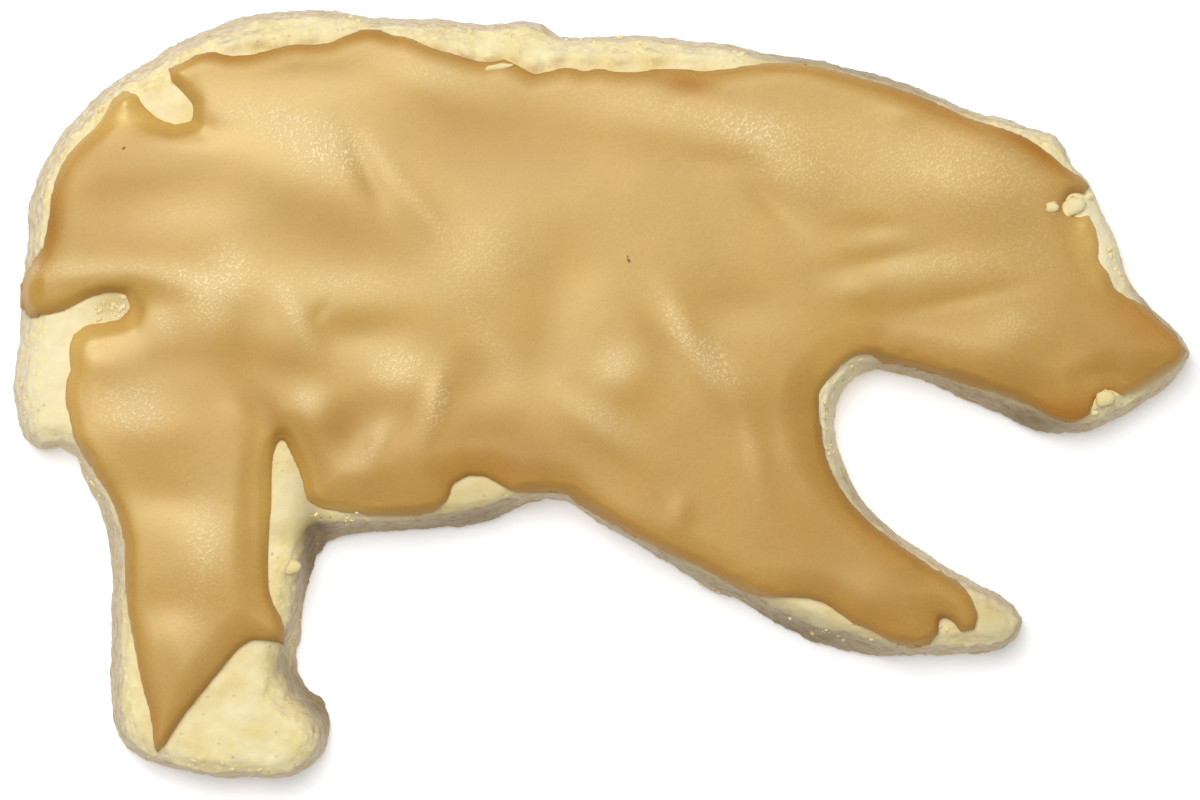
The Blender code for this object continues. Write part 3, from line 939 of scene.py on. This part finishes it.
@dataclass
class Icing:
    """The poured caramel icing: a rounded rim, and a top that set in swells and hollows."""

    fineness: float = 0.32
    rounds: int = 3
    lobe_rounds: int = 36
    rim_rounds: int = 4
    thickness: float = 1.45
    least: float = 0.30
    lip: float = 0.12
    lip_width: float = 0.6
    rim_width: float = 2.4
    rim_fall: float = 0.36
    sink: float = 0.45
    inset: float = 0.25
    slack: float = 0.2
    narrowest: float = 0.05
    lobe_share: float = 0.95
    thin_share: float = 0.6
    wide_fall: float = 0.15
    hidden_share: float = 0.06
    relief: tuple = ()
    lobes: tuple = ()
    wide_rims: tuple = ()
    thin_places: tuple = ()
    stains_and_shade: tuple = ()
    sugary_and_highlight_places: tuple = ()
    finish: CaramelFinish = CaramelFinish()

    def build(self, edge: Outline, solid: Piece) -> Piece:
        """Build the icing.

        Args:
            edge: the edge of the icing.
            solid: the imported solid, merged, which gives the underside.

        Returns:
            The finished piece.
        """
        piece = fine_copy("icing", "poured_icing", self.fineness, self.rounds)
        share = self.shape_top(piece, edge, solid)
        depth = edge.depth(coordinates(piece)[:, :2] / MM)
        simplify(piece, (share < 0.1) & (depth > 1.0), self.hidden_share)
        self.round_rim(piece, edge)
        self.keep_marks(piece, edge)
        dress(piece, self.finish.material())
        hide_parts("icing")
        return piece

    def shape_top(self, piece: Piece, edge: Outline, solid: Piece) -> np.ndarray:
        """Give the top its swells and its rounded rim, and set the underside into the dough.

        Args:
            piece: the fine copy.
            edge: the edge of the icing.
            solid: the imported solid, merged.

        Returns:
            How high in the icing each point was, 0 at its underside and 1 at its top.
        """
        points = coordinates(piece)
        probes = points[:, :2] / MM - normals(piece)[:, :2] * self.inset
        guide = solid_of(solid)
        low = np.array([feel(guide, *probe, -1.0) for probe in probes])
        high = np.array([feel(guide, *probe) for probe in probes])
        missed = np.isnan(low) | np.isnan(high) | (high - low < self.narrowest)
        low = np.where(missed, points[:, 2] / MM - self.slack, low)
        high = np.where(missed, points[:, 2] / MM + self.slack, high)
        share = step((points[:, 2] / MM - low) / (high - low), 0.05, 0.95)
        flat = points[:, :2] / MM
        depth = np.clip(edge.depth(flat), 0.0, None)
        width = self.width_of_rim(flat)
        slope = np.clip(1.0 - depth / width, 0.0, 1.0) ** 2
        full = 1.0 - self.thinness(flat)
        body = self.thickness * (self.thin_share + (1.0 - self.thin_share) * full)
        body += heap(self.relief, flat) * full
        lobe = np.clip(heap(self.lobes, flat), 0.0, 1.0)
        body += self.lobe_share * lobe * (DOUGH_TOP - low)
        fall = self.rim_fall + self.wide_fall * np.clip(width - self.rim_width, 0.0, None)
        body = np.maximum(body - fall * full * slope, self.least)
        lip_width = self.lip_width * (4.2 - 3.2 * full)
        rise = 1.0 - np.clip(1.0 - depth / lip_width, 0.0, 1.0) ** 2
        top = low + self.lip + (body - self.lip) * rise
        bottom = low - self.sink
        points[:, 2] = (bottom + (top - bottom) * share) * MM
        place(piece, points)
        return share

    def thinness(self, points: np.ndarray) -> np.ndarray:
        """Tell how thin the icing is at each point, 1 where it is thinnest."""
        return np.clip(heap(self.thin_places, points), 0.0, 1.0)

    def width_of_rim(self, points: np.ndarray) -> np.ndarray:
        """Tell how wide the rim is at each point, in millimetres."""
        return np.maximum(self.rim_width + heap(self.wide_rims, points), 1.0)

    def round_rim(self, piece: Piece, edge: Outline) -> None:
        """Smooth the lobe and the outermost rim, which the steps of the mesh leave ragged.

        Args:
            piece: the icing.
            edge: its edge.
        """
        flat = coordinates(piece)[:, :2] / MM
        inner = step(edge.depth(flat), 0.1, 0.5)
        lobe = weigh(piece, "lobe", np.clip(heap(self.lobes, flat), 0.0, 1.0) * inner)
        finish_with(piece, "SMOOTH", factor=0.5, iterations=self.lobe_rounds, vertex_group=lobe)
        depth = edge.depth(coordinates(piece)[:, :2] / MM)
        rim = weigh(piece, "rim", 1.0 - step(depth, 0.3, 1.0))
        finish_with(piece, "SMOOTH", factor=0.5, iterations=self.rim_rounds, vertex_group=rim)

    def keep_marks(self, piece: Piece, edge: Outline) -> None:
        """Keep where the icing is near its rim, where it is thin, where it is browner with stains and
        painted shade, and where it is pale with sugar and painted highlights.

        Args:
            piece: the icing.
            edge: its edge.
        """
        points = coordinates(piece)[:, :2] / MM
        depth = edge.depth(points)
        thin = self.thinness(points)
        share = np.clip(depth / self.width_of_rim(points), 0.0, 1.0)
        mark(piece, Mark.RIM, (1.0 - step(share, 0.0, 1.0)) * (1.0 - thin))
        mark(piece, Mark.THIN, thin)
        # Stains and painted shade in hollows and along rims.
        mark(piece, Mark.STAIN, heap(self.stains_and_shade, points))
        # Sugar bloom and painted highlight.
        mark(piece, Mark.SUGAR, heap(self.sugary_and_highlight_places, points))


@dataclass(frozen=True)
class Bit:
    """One small lump by itself: its middle, its three half sizes and its turn.

    Sizes are in millimetres, the turn in degrees, and sunk is how much of its height, 0 to 1,
    lies in the surface below it.
    """

    x: float
    y: float
    along: float
    across: float
    high: float
    turn: float
    sunk: float = 0.3


@dataclass(frozen=True)
class Run:
    """A stretch along which crumbs lie, from one end to the other, in millimetres."""

    start: tuple[float, float]
    end: tuple[float, float]
    width: float
    count: int
    size: float
    sunk: float = 0.42

    def bits(self, chance: random.Random) -> list[Bit]:
        """Scatter crumbs along the stretch.

        Args:
            chance: the seeded source of chance.

        Returns:
            The crumbs.
        """
        found = []
        run = np.subtract(self.end, self.start)
        across = np.array((-run[1], run[0])) / math.dist(self.start, self.end)
        for _ in range(self.count):
            share = chance.random()
            aside = chance.gauss(0.0, 0.5) * self.width
            size = self.size * (0.3 + 0.8 * chance.random() ** 2)
            x, y = self.start + share * run + across * aside
            found.append(Bit(x, y, size * chance.uniform(0.8, 1.7), size * chance.uniform(0.6, 1.1),
                             size * chance.uniform(0.4, 0.8), chance.uniform(0.0, 180.0), self.sunk))
        return found


@dataclass
class Litter:
    """Small lumps of one kind, shaped once and copied: crumbs of dough or dark grains."""

    name: str
    slot: Slot
    finish: DoughFinish | GrainFinish
    singles: tuple[Bit, ...]
    runs: tuple[Run, ...] = ()
    seed: int = 11
    knob: float = 0.8
    roughness: float = 0.9
    detail: int = 2
    lowest: float = 0.5

    def build(self, ground: tuple[BVHTree, ...]) -> Piece:
        """Set the single lumps and scatter the others.

        Args:
            ground: the solids below.

        Returns:
            The finished piece.
        """
        chance = random.Random(self.seed)
        bits = list(self.singles)
        for run in self.runs:
            bits += run.bits(chance)
        piece = self.lay(bits, ground)
        dress(piece, self.finish.material())
        return piece

    def shape(self) -> Piece:
        """Shape one lump, a knobbly ball of 1 mm half size.

        Returns:
            The lump, at the origin.
        """
        bpy.ops.mesh.primitive_ico_sphere_add(subdivisions=self.detail, radius=MM)
        lump = bpy.context.object
        roughen(lump, self.knob, self.roughness, depth=1)
        return lump

    def lay(self, bits: list[Bit], ground: tuple[BVHTree, ...]) -> Piece:
        """Lay a copy of the lump for each bit on the surface and join them.

        Args:
            bits: the lumps to lay.
            ground: the solids below.

        Returns:
            All the lumps as one piece.
        """
        lump = self.shape()
        copies = []
        for bit in bits:
            x, y = VIEW.under(np.array([[bit.x, bit.y]]), DOUGH_TOP)[0]
            height = np.fmax.reduce([feel(solid, x, y) for solid in ground])
            if not height >= self.lowest:
                continue
            copy = bpy.data.objects.new(self.name, lump.data.copy())
            bpy.context.scene.collection.objects.link(copy)
            middle = Vector((x, y, height + bit.high * (1.0 - 2.0 * bit.sunk))) * MM
            turn = Euler((0.0, 0.0, math.radians(bit.turn)))
            sizes = Vector((bit.along, bit.across, bit.high))
            copy.data.transform(Matrix.LocRotScale(middle, turn, sizes))
            copies.append(copy)
        bpy.data.objects.remove(lump)
        pick(copies[0])
        for copy in copies:
            copy.select_set(True)
        bpy.ops.object.join()
        piece = bpy.context.object
        piece.name = self.name
        piece.data.name = self.name
        return piece


# Where crumbs lie
CRUMB_RUNS = (
    Run((-26, 37.6), (14, 34.3), 0.5, 26, 0.26),
    Run((-51, 8.2), (-47.6, 9), 0.9, 26, 0.28), Run((-52.6, -6.4), (-50.4, -10.4), 0.5, 12, 0.32),
    Run((-29.4, -12.2), (-23, -12.5), 0.4, 24, 0.2), Run((-33, -7), (-30.8, -9), 0.5, 3, 0.24),
    Run((22, 0.4), (22.9, -6.4), 0.4, 20, 0.24), Run((26, 3.4), (22.6, 0.9), 0.4, 14, 0.24),
    Run((4, -16.4), (15, -21), 0.6, 12, 0.24), Run((15, -22.2), (28, -25.2), 0.6, 12, 0.24),
    Run((35.4, -0.6), (41.4, -2.8), 0.3, 6, 0.2), Run((49, -1.8), (52, -0.8), 0.6, 6, 0.32),
    Run((45.8, 18.2), (48.6, 19.6), 0.5, 4, 0.3), Run((50.4, 15.4), (51.8, 12), 0.4, 8, 0.32),
    Run((-28.6, -14.6), (-30.6, -24), 0.5, 5, 0.24), Run((-53.6, 26), (-47.6, 31.8), 0.5, 7, 0.26),
    Run((33.6, -23), (38, -24.6), 0.5, 7, 0.3), Run((-46, -35.8), (-33, -37.8), 0.5, 12, 0.32),
    Run((-57.6, 6), (-58, -3), 0.4, 8, 0.34),
)

# Single knobs of dough that can be told apart
KNOBS = (
    Bit(44.8, 18.7, 0.7, 0.55, 0.26, 0, 0.5), Bit(48.8, 19.9, 0.5, 0.4, 0.4, 30),
    Bit(-10.6, 32.6, 1.5, 0.3, 0.2, 8, 0.5), Bit(-50.3, 28.4, 0.4, 0.3, 0.3, 40),
    Bit(-31.1, -17.3, 0.9, 0.7, 0.34, 20, 0.5), Bit(50.2, -0.4, 1, 0.8, 0.4, 15, 0.5),
    Bit(47, 18.8, 1.3, 0.9, 0.28, 24, 0.5), Bit(46.4, 18.1, 0.7, 0.5, 0.22, 70, 0.5),
)

# Dark grains that can be told apart
DARK_GRAINS = (
    Bit(2.5, 13.3, 0.13, 0.24, 0.09, 30), Bit(2.4, 13.7, 0.07, 0.1, 0.05, 0),
    Bit(-47.8, 24.4, 0.22, 0.1, 0.04, 40),
)

# Lines where the bare face breaks down to the side
LEDGES = (
    Ledge(((-29.4, -13.2), (-30.4, -17.7), (-31.3, -22.2), (-32.5, -25.2)), 0.9, 2.6),
    Ledge(((-32.5, -25.2), (-32.6, -27.7), (-31.6, -29.1), (-27.5, -33.8)), 1.1, 2.8),
    Ledge(((-9.4, -10.2), (-12.1, -11.4), (-16.9, -12.1)), 0.8, 2.2),
    Ledge(((-16.9, -12.4), (-29.2, -12.9)), 0.8, 2.2),
    Ledge(((28.1, -24.7), (22.2, -23.5), (15.1, -21.2)), 0.8, 2.2),
)

# Knobs and soft lumps of the bare dough
DOUGH_LUMPS = swells(
    (50.4, -0.6, 0.9, 0.8, 0.75), (47.2, 19, 0.9, 0.9, 0.7), (-31, -17.2, 0.9, 0.8, 1.1, 20),
    (-30.9, -15.2, 0.6, 0.9, 0.35), (22.8, -2.2, 0.9, 3.8, 0.65, 6), (24.4, 1.8, 0.9, 2, 0.65, -44),
    (49.8, 15.8, 1, 2.6, 0.5, 22), (-37.4, 34.9, 0.7, 0.5, 0.7, 20), (-34.8, 35.4, 0.8, 0.5, 0.8),
    (-32.4, 35.1, 0.6, 0.5, 0.7), (-29.6, 35.6, 0.8, 0.5, 0.7, 10), (-16.4, 35, 0.8, 0.45, 0.8, -20),
    (-13.7, 34.2, 0.7, 0.45, 0.9, -30), (-11.2, 33.8, 0.8, 0.5, 0.8, 10), (-8.7, 34, 0.5, 0.6, 0.8),
    (-7, 33.1, 0.7, 0.5, 0.9, 10), (-4.6, 33.8, 0.7, 0.5, 0.8, 20), (-1.8, 33.9, 0.6, 0.5, 0.7),
    (1.4, 33.7, 0.7, 0.5, 0.7, -10), (5, 34, 0.8, 0.5, 0.7), (9, 33.8, 0.8, 0.5, 0.6),
)

# Where the dough is darker: mostly painted shade on sides turned from the light and between crumbs,
# elsewhere a duller tone
SHADED_AND_BROWNED_PLACES = swells(
    (-28.4, -19, 1.1, 7, 1.3, 6), (-29.2, -30.2, 1.1, 3.6, 0.9, 42), (40, -2, 9, 1.8, 0.62, -20),
    (-22, -13.8, 8, 0.8, 0.5), (-13, -10.2, 3.8, 1.8, 0.26), (21.5, -24.4, 7, 1, 0.6, -14),
    (38.4, -22.4, 3.4, 2.6, 0.3), (-31.2, -12, 1.5, 8, 0.08), (11, -19, 10, 1, 0.42, -28),
    (21.5, -22.2, 5, 1, 0.24, -14), (-48.6, -20, 1, 10, 0.16), (-12.6, -12.4, 4, 0.8, 0.5, 8),
    (-48.4, 8.9, 1.8, 0.9, 0.5, 8), (27.4, -13, 6, 0.8, 0.3, -50), (-24, 35.6, 22, 2.4, 0.1, -2),
    (21, 33.2, 4, 0.9, 0.6, -8), (30.5, 30.5, 4.6, 0.9, 0.6, -24), (55.6, 8, 2.8, 0.7, 0.5, -46),
    (43.4, -2.4, 2.2, 0.9, 0.4, -14),
)

# Where the dough is paler: painted light on the throat and snout walls that face away from the light,
# and a paler tone elsewhere
CREAMY_AND_LIT_PLACES = swells(
    (-54.6, 2, 3, 6, 0.6), (50, 15.6, 1.6, 4, 1, 22), (22.6, -2.4, 1.2, 3.2, 1, 4),
    (24.8, 2.2, 1, 1.8, 1, -48), (-4.6, 33.8, 3, 1, 0.4),
)

# Swells and hollows of the icing, region by region
RELIEF = swells(
    # Rump and hip
    (-47, 22.4, 6, 1.8, 0.11, 10), (-43, 15.4, 6, 1.8, 0.09, 9), (-53.2, 11.6, 5.6, 1, 0.14, 4),
    (-43, 10.8, 3.4, 1.1, 0.12, -12), (-38.6, 7.4, 1.6, 2.4, 0.15, 24),
    (-55.6, 16.4, 1.4, 3, -0.25, -6), (-29.6, 21.4, 6.6, 3, 0.46, -24),
    (-23.6, 22, 2.6, 0.8, -0.2, -66), (-19.2, 19.6, 3.8, 1.1, 0.14, -50), (-26, 8.8, 7, 2.2, 0.17),
    (-36, 10.8, 1.8, 2.2, 0.1, 10), (-17.4, 30.6, 4.6, 1.6, 0.14, -20), (-31, 31.6, 5, 1.6, -0.16, 2),
    (-10, 24.8, 8, 3, -0.16),
    # Thigh and hind leg
    (-45.4, -3.6, 3.4, 2, 0.24), (-44, -10.4, 3.4, 1.6, -0.18, -10),
    (-50.4, 3.6, 2.4, 1.4, 0.16, -20), (-38.8, -17.2, 3.4, 2.6, 0.34, -70),
    (-43.4, -21.4, 2.4, 1.6, -0.16), (-41.6, -27, 3.8, 1.4, 0.22, -72), (-35.4, 1.6, 2.4, 3.6, -0.26),
    (-42.6, 3, 3, 1.4, -0.1),
    # Belly
    (-32.4, 5.2, 3, 1.7, 0.19, -12), (-28.4, -2.2, 1.9, 1.7, 0.24),
    (-24.8, -3.6, 2.6, 1.8, -0.27, 60), (-19.8, 0.8, 2.8, 1.7, 0.19),
    (-16.9, -1.4, 2.4, 0.8, 0.22, 76), (-12.8, 1.4, 2.4, 2.2, -0.22), (-24.4, 6, 3.4, 1.4, -0.16, 4),
    (-30, 6.6, 2.6, 1, 0.12, -62), (-21.8, -6.6, 3, 1.2, 0.16, 20), (-11, -4.6, 3, 1.6, -0.2),
    (-33.6, -2, 2.6, 0.9, -0.24, -48), (-36.4, -2, 1.4, 1.6, 0.1), (-28.1, 8.2, 0.9, 0.5, -0.05, 50),
    (-22.6, -4.9, 1.2, 0.8, 0.16, 60),
    # Middle of the side
    (-12, 12, 3.4, 3, 0.16), (-3.8, 11.8, 3, 3, -0.2), (-5.6, 4.6, 2, 3.6, -0.14, -10),
    (2.2, 1.4, 1.9, 1.8, 0.22), (0.2, -4, 3.6, 1.2, 0.2, -35), (5.4, 5, 2.6, 0.9, -0.11, -56),
    (8.4, 5.8, 3.4, 1.2, 0.16, -62), (12, 0.6, 2.6, 1.3, 0.18, -46), (7.6, 26.4, 8, 1.7, 0.15, -9),
    (12.6, 23, 2.8, 0.9, -0.06, -4), (17, 19, 2.8, 1, -0.16, -48), (20, 22, 3.6, 1.6, 0.18, -30),
    (15.4, -6.6, 3.4, 1, 0.11, -78), (17.6, -2.6, 2.4, 2.4, -0.16), (13, 8.4, 3.4, 1.8, -0.16),
    # Shoulder, neck and head
    (26.6, 16.6, 2.2, 0.8, -0.13), (27, 13.2, 2.8, 0.8, -0.15, 10), (25.8, 10.2, 1.8, 1, 0.12),
    (33.8, 11.7, 4, 1.4, 0.13, 8), (36.2, 9.6, 4.4, 0.6, -0.08, 12), (41.2, 5.6, 2.4, 1.6, 0.17),
    (34.6, 3.8, 3.6, 1.7, 0.14, -12), (37.4, 20.2, 6.2, 3, 0.46, -12), (28, 6.8, 3.4, 1.6, -0.18),
    (30.4, 28.4, 1.6, 1.2, 0.14), (48.4, 8, 3, 3, -0.1, 20),
    # Foreleg
    (7.6, -12, 1.2, 0.8, 0.14, 80), (27, -20.6, 2.2, 1.4, 0.22, -20),
    (22.6, -15.4, 3, 1.8, -0.16, -40), (2.6, -12.4, 2, 0.8, 0.12, -34),
)

# Where the icing hangs over the side as a thick lobe
LOBES = swells(
    (-58, 11.4, 2.4, 4.4, 1.8),
)

# Where the rim slopes down over more millimetres than elsewhere, or over fewer
WIDE_RIMS = swells(
    (38, 1.6, 9, 2.8, 3.2, -18), (50, 0, 5, 3.6, 2.6, 20), (53, 9, 4.4, 3.4, 1.8, -50),
    (20.6, -1.6, 3.2, 4.6, 2.8), (26, -9.6, 5.4, 2.8, 2.2, -50), (32, -19.6, 4.4, 3, 2, -44),
    (22, -19, 5, 2.2, 1.2, -22), (7, -14.6, 8, 2.2, 0.8, -28), (-20, -9, 7, 2.4, 2.8),
    (-7, -7.6, 4.4, 2.6, 1.2), (-35.4, -14, 2.2, 8, 1.8), (-38.6, -26, 4.6, 2.2, 1, 48),
    (43.4, 24, 4, 1.6, 1.4, -38), (-28.6, -6, 1.6, 3.6, 1.2), (-52.6, 11, 7, 2.6, -1.3, 4),
    (-42.4, 26.4, 4, 4.4, -1.3), (-52, 1, 1.6, 6, -0.9), (-24, 33.8, 18, 2, -0.3),
    (31, 30, 7, 1.8, 1, -22),
)

# Where the dough shines yellow through thin icing
THIN_PLACES = swells(
    (-46.8, 28.4, 3, 2, 0.7, 40), (-43.4, 26.8, 3, 0.9, 0.7, -8), (-40.8, 29.4, 0.8, 2, 0.35, 20),
    (-52.2, 24.8, 3.8, 1.3, 0.6, 48), (48.4, 15, 1.2, 3.2, 0.9, 16), (55, 0.8, 3.6, 0.8, 0.9, 30),
    (-49, 8.6, 3, 1.1, 0.6, 8), (-46.8, 8, 0.6, 1.4, 0.4), (50, 1.2, 1.6, 0.7, 0.6),
    (-27, -11.4, 3, 0.5, 0.6), (-52.8, 1.6, 0.9, 4.4, 0.5), (-49.8, 6.4, 3.2, 1.5, 0.65, 8),
    (-30.2, -7.8, 0.9, 3.6, 0.55, 12), (-33.9, -8.6, 1.1, 5.2, 0.6), (23, 2.6, 2, 2, 0.2),
)

# Where the caramel is browner: stains where it set browner, painted shade in hollows and along the
# upper rims, and a browner tone in broad patches
STAINS_AND_SHADE = swells(
    (8.4, 30.8, 2.2, 0.7, 0.9, -6), (-47.2, 8.2, 1.4, 0.6, 0.3, 20), (46.6, -1.8, 2.6, 0.8, 0.8, -8),
    (-38.4, 33.8, 2.4, 0.7, 0.5, -3), (-23.6, 35.9, 2.8, 0.7, 0.5), (-55.4, 16.8, 0.8, 2.8, 0.6),
    (43.6, 24.4, 3.8, 0.8, 0.9, -38), (-22.9, 20.4, 0.5, 1.4, 0.3, 26),
    (-30.6, 2.8, 2.6, 1.1, 0.3, -8), (5.4, 5.2, 2.2, 0.6, 0.3, -56), (22, -12.4, 12, 7, 0.36, -42),
    (52.6, 5, 4.6, 4, 0.56), (-16, -5.8, 10, 3.4, 0.4), (-10, 25, 8, 3.4, 0.26),
    (-25, 15.4, 6, 2.2, 0.2, -8), (-26, -3, 1.8, 1.8, 0.25), (-47, 20.6, 5, 1.2, 0.2, 4),
    (-13.4, 1.4, 1.6, 2.4, 0.25, 20), (-49.6, 15.8, 5, 2.6, 0.4), (-49, 23.6, 5, 2.4, 0.5, 20),
    (33.6, 28.8, 5, 0.9, 0.5, -22), (-41, 2, 6, 4, 0.3), (-7.6, -6, 4, 2, 0.4, -8),
    (-28.4, 33.2, 5, 1.2, 0.15), (-33.4, -2.2, 2.4, 0.8, 0.5, -48), (30.7, 6.4, 3.4, 2, 0.22),
    (41.6, 1.4, 4.4, 1.4, 0.2, -16), (28.8, -21.8, 4, 2, 0.3, -30), (4.8, -10.6, 4, 2.4, 0.25, -20),
)

# Where the icing dried pale, with a sugary sparkle, and where the pale colour is a painted highlight
# of the satin sheen
SUGARY_AND_HIGHLIGHT_PLACES = swells(
    (-27.5, 24.4, 3.4, 2.2, 1, -30), (-34, 27.2, 5, 1.6, 0.6, -20), (-39.8, 9, 1.6, 2.4, 0.8, 20),
    (-43.7, 7, 0.8, 1.4, 0.8, 15), (-46.5, -1.5, 3, 2, 0.9), (-50.5, 5, 1.6, 1, 0.4),
    (-20.4, 2.6, 2.2, 1.6, 0.9), (-30.8, 7.8, 2.6, 0.7, 0.7, -62), (-29.8, -0.7, 1.2, 1, 0.7),
    (-36.8, 12.6, 1.6, 2.2, 0.75, 20), (-39.5, -14.5, 1.8, 3, 0.7, 10),
    (-22.8, -5, 2.2, 0.8, 0.7, 60), (-16.6, -1.2, 2.8, 1, 0.85, 76), (-17.5, 32, 4, 1, 0.5, -18),
    (5, 28.6, 8, 1.4, 0.45, -9), (15, 26.6, 3, 1.2, 0.45, -6), (-12.2, 14, 4, 3.6, 0.5),
    (-10.8, 4, 1.2, 4.2, 0.4, 34), (1.4, 3, 1.8, 1.6, 0.7), (-0.4, -2.4, 3.4, 1, 0.6, -35),
    (7.2, 7.2, 2.4, 0.8, 0.8, -66), (11.2, 3, 2.6, 1.3, 0.9, -52), (14.6, -6, 2.8, 0.6, 0.5, -78),
    (33.6, 12.8, 3.8, 1.2, 0.5, 6), (37, 22.6, 6, 2.4, 0.36, -10), (41.4, 7, 2, 1.4, 0.5),
    (35, 5, 3.4, 1.2, 0.35, -12), (18.5, 23, 4, 1.6, 0.4, -30), (-19.2, 20, 4.5, 0.7, 0.4, -52),
    (-48, 24, 4, 1.2, 0.2, 10), (-43, 17.4, 4, 1.3, 0.35, 8), (-51, 12.3, 5, 0.7, 0.5, 3),
    (-42, 11.6, 3, 0.7, 0.6, -10), (-26.4, 10.8, 5.6, 1.5, 0.5), (29, 22.4, 12, 4.6, 0.34, -8),
    (43.2, 13.4, 4.6, 3.2, 0.3), (-40.6, -22, 1.4, 3.6, 0.35, 10), (-57, 12.6, 2.4, 0.6, 0.5, 4),
)


@dataclass
class Studio:
    """A pale floor and soft light, strongest from the upper left."""

    floor_size: float = 6.0
    floor_gap: float = 0.02
    key_distance: float = 0.66
    key_azimuth: float = 122.0
    key_height: float = 70.0
    key_size: float = 0.36
    key_power: float = 3.10
    sky: tuple = (0.98, 0.98, 1.0, 1.0)
    sky_strength: float = 0.34
    floor_colour: tuple = (0.93, 0.93, 0.93, 1.0)
    floor_glow: float = 0.25

    def build(self) -> None:
        """Set up the floor, the light, the sky and the camera."""
        self.lay_floor()
        self.hang_light()
        self.paint_sky()
        VIEW.camera()
        bpy.context.scene.view_settings.view_transform = "Standard"

    def lay_floor(self) -> None:
        """Lay the floor just under the biscuit's foot."""
        bpy.ops.mesh.primitive_plane_add(size=self.floor_size, location=-UP * self.floor_gap * MM)
        floor = bpy.context.object
        floor.name = "floor"
        recipe = Recipe("floor_finish")
        material = recipe.settle(Base_Color=self.floor_colour, Roughness=0.9,
                                 Emission_Color=(1.0, 1.0, 1.0, 1.0),
                                 Emission_Strength=self.floor_glow, Specular_IOR_Level=0.1)
        floor.data.materials.append(material)

    def hang_light(self) -> None:
        """Hang the key light and aim it at the middle of the biscuit."""
        azimuth = math.radians(self.key_azimuth)
        height = math.radians(self.key_height)
        away = Vector((math.cos(azimuth) * math.cos(height), math.sin(azimuth) * math.cos(height),
                       math.sin(height)))
        bpy.ops.object.light_add(type="AREA", location=away * self.key_distance,
                                 rotation=away.to_track_quat("Z", "Y").to_euler())
        key = bpy.context.object
        key.name = "key_light"
        key.data.shape = "DISK"
        key.data.size = self.key_size
        key.data.energy = self.key_power

    def paint_sky(self) -> None:
        """Light everything softly from all round."""
        world = bpy.data.worlds.new("pale_sky")
        world.use_nodes = True
        background = world.node_tree.nodes["Background"]
        background.inputs["Color"].default_value = self.sky
        background.inputs["Strength"].default_value = self.sky_strength
        bpy.context.scene.world = world


def main() -> None:
    """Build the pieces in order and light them."""
    logging.basicConfig(level=logging.INFO, format="%(name)s: %(message)s")
    solid = copy_of_node("icing", "icing_guide")
    edge = Outline.of_sheet(solid)
    report.info("icing edge: %d stretches", len(edge.starts))
    dough = Dough(lumps=DOUGH_LUMPS, shaded_and_browned=SHADED_AND_BROWNED_PLACES, creamy_and_lit=CREAMY_AND_LIT_PLACES,
                  ledges=LEDGES).build(edge)
    icing = Icing(relief=RELIEF, lobes=LOBES, wide_rims=WIDE_RIMS, thin_places=THIN_PLACES,
                  stains_and_shade=STAINS_AND_SHADE, sugary_and_highlight_places=SUGARY_AND_HIGHLIGHT_PLACES).build(edge, solid)
    bpy.data.objects.remove(solid)
    ground = (solid_of(dough), solid_of(icing))
    Litter("loose_crumbs", Slot.DOUGH, DoughFinish(), KNOBS, CRUMB_RUNS).build(ground)
    Litter("dark_grains", Slot.ICING, GrainFinish(), DARK_GRAINS).build(ground)
    Studio().build()


if __name__ == "__main__":
    main()
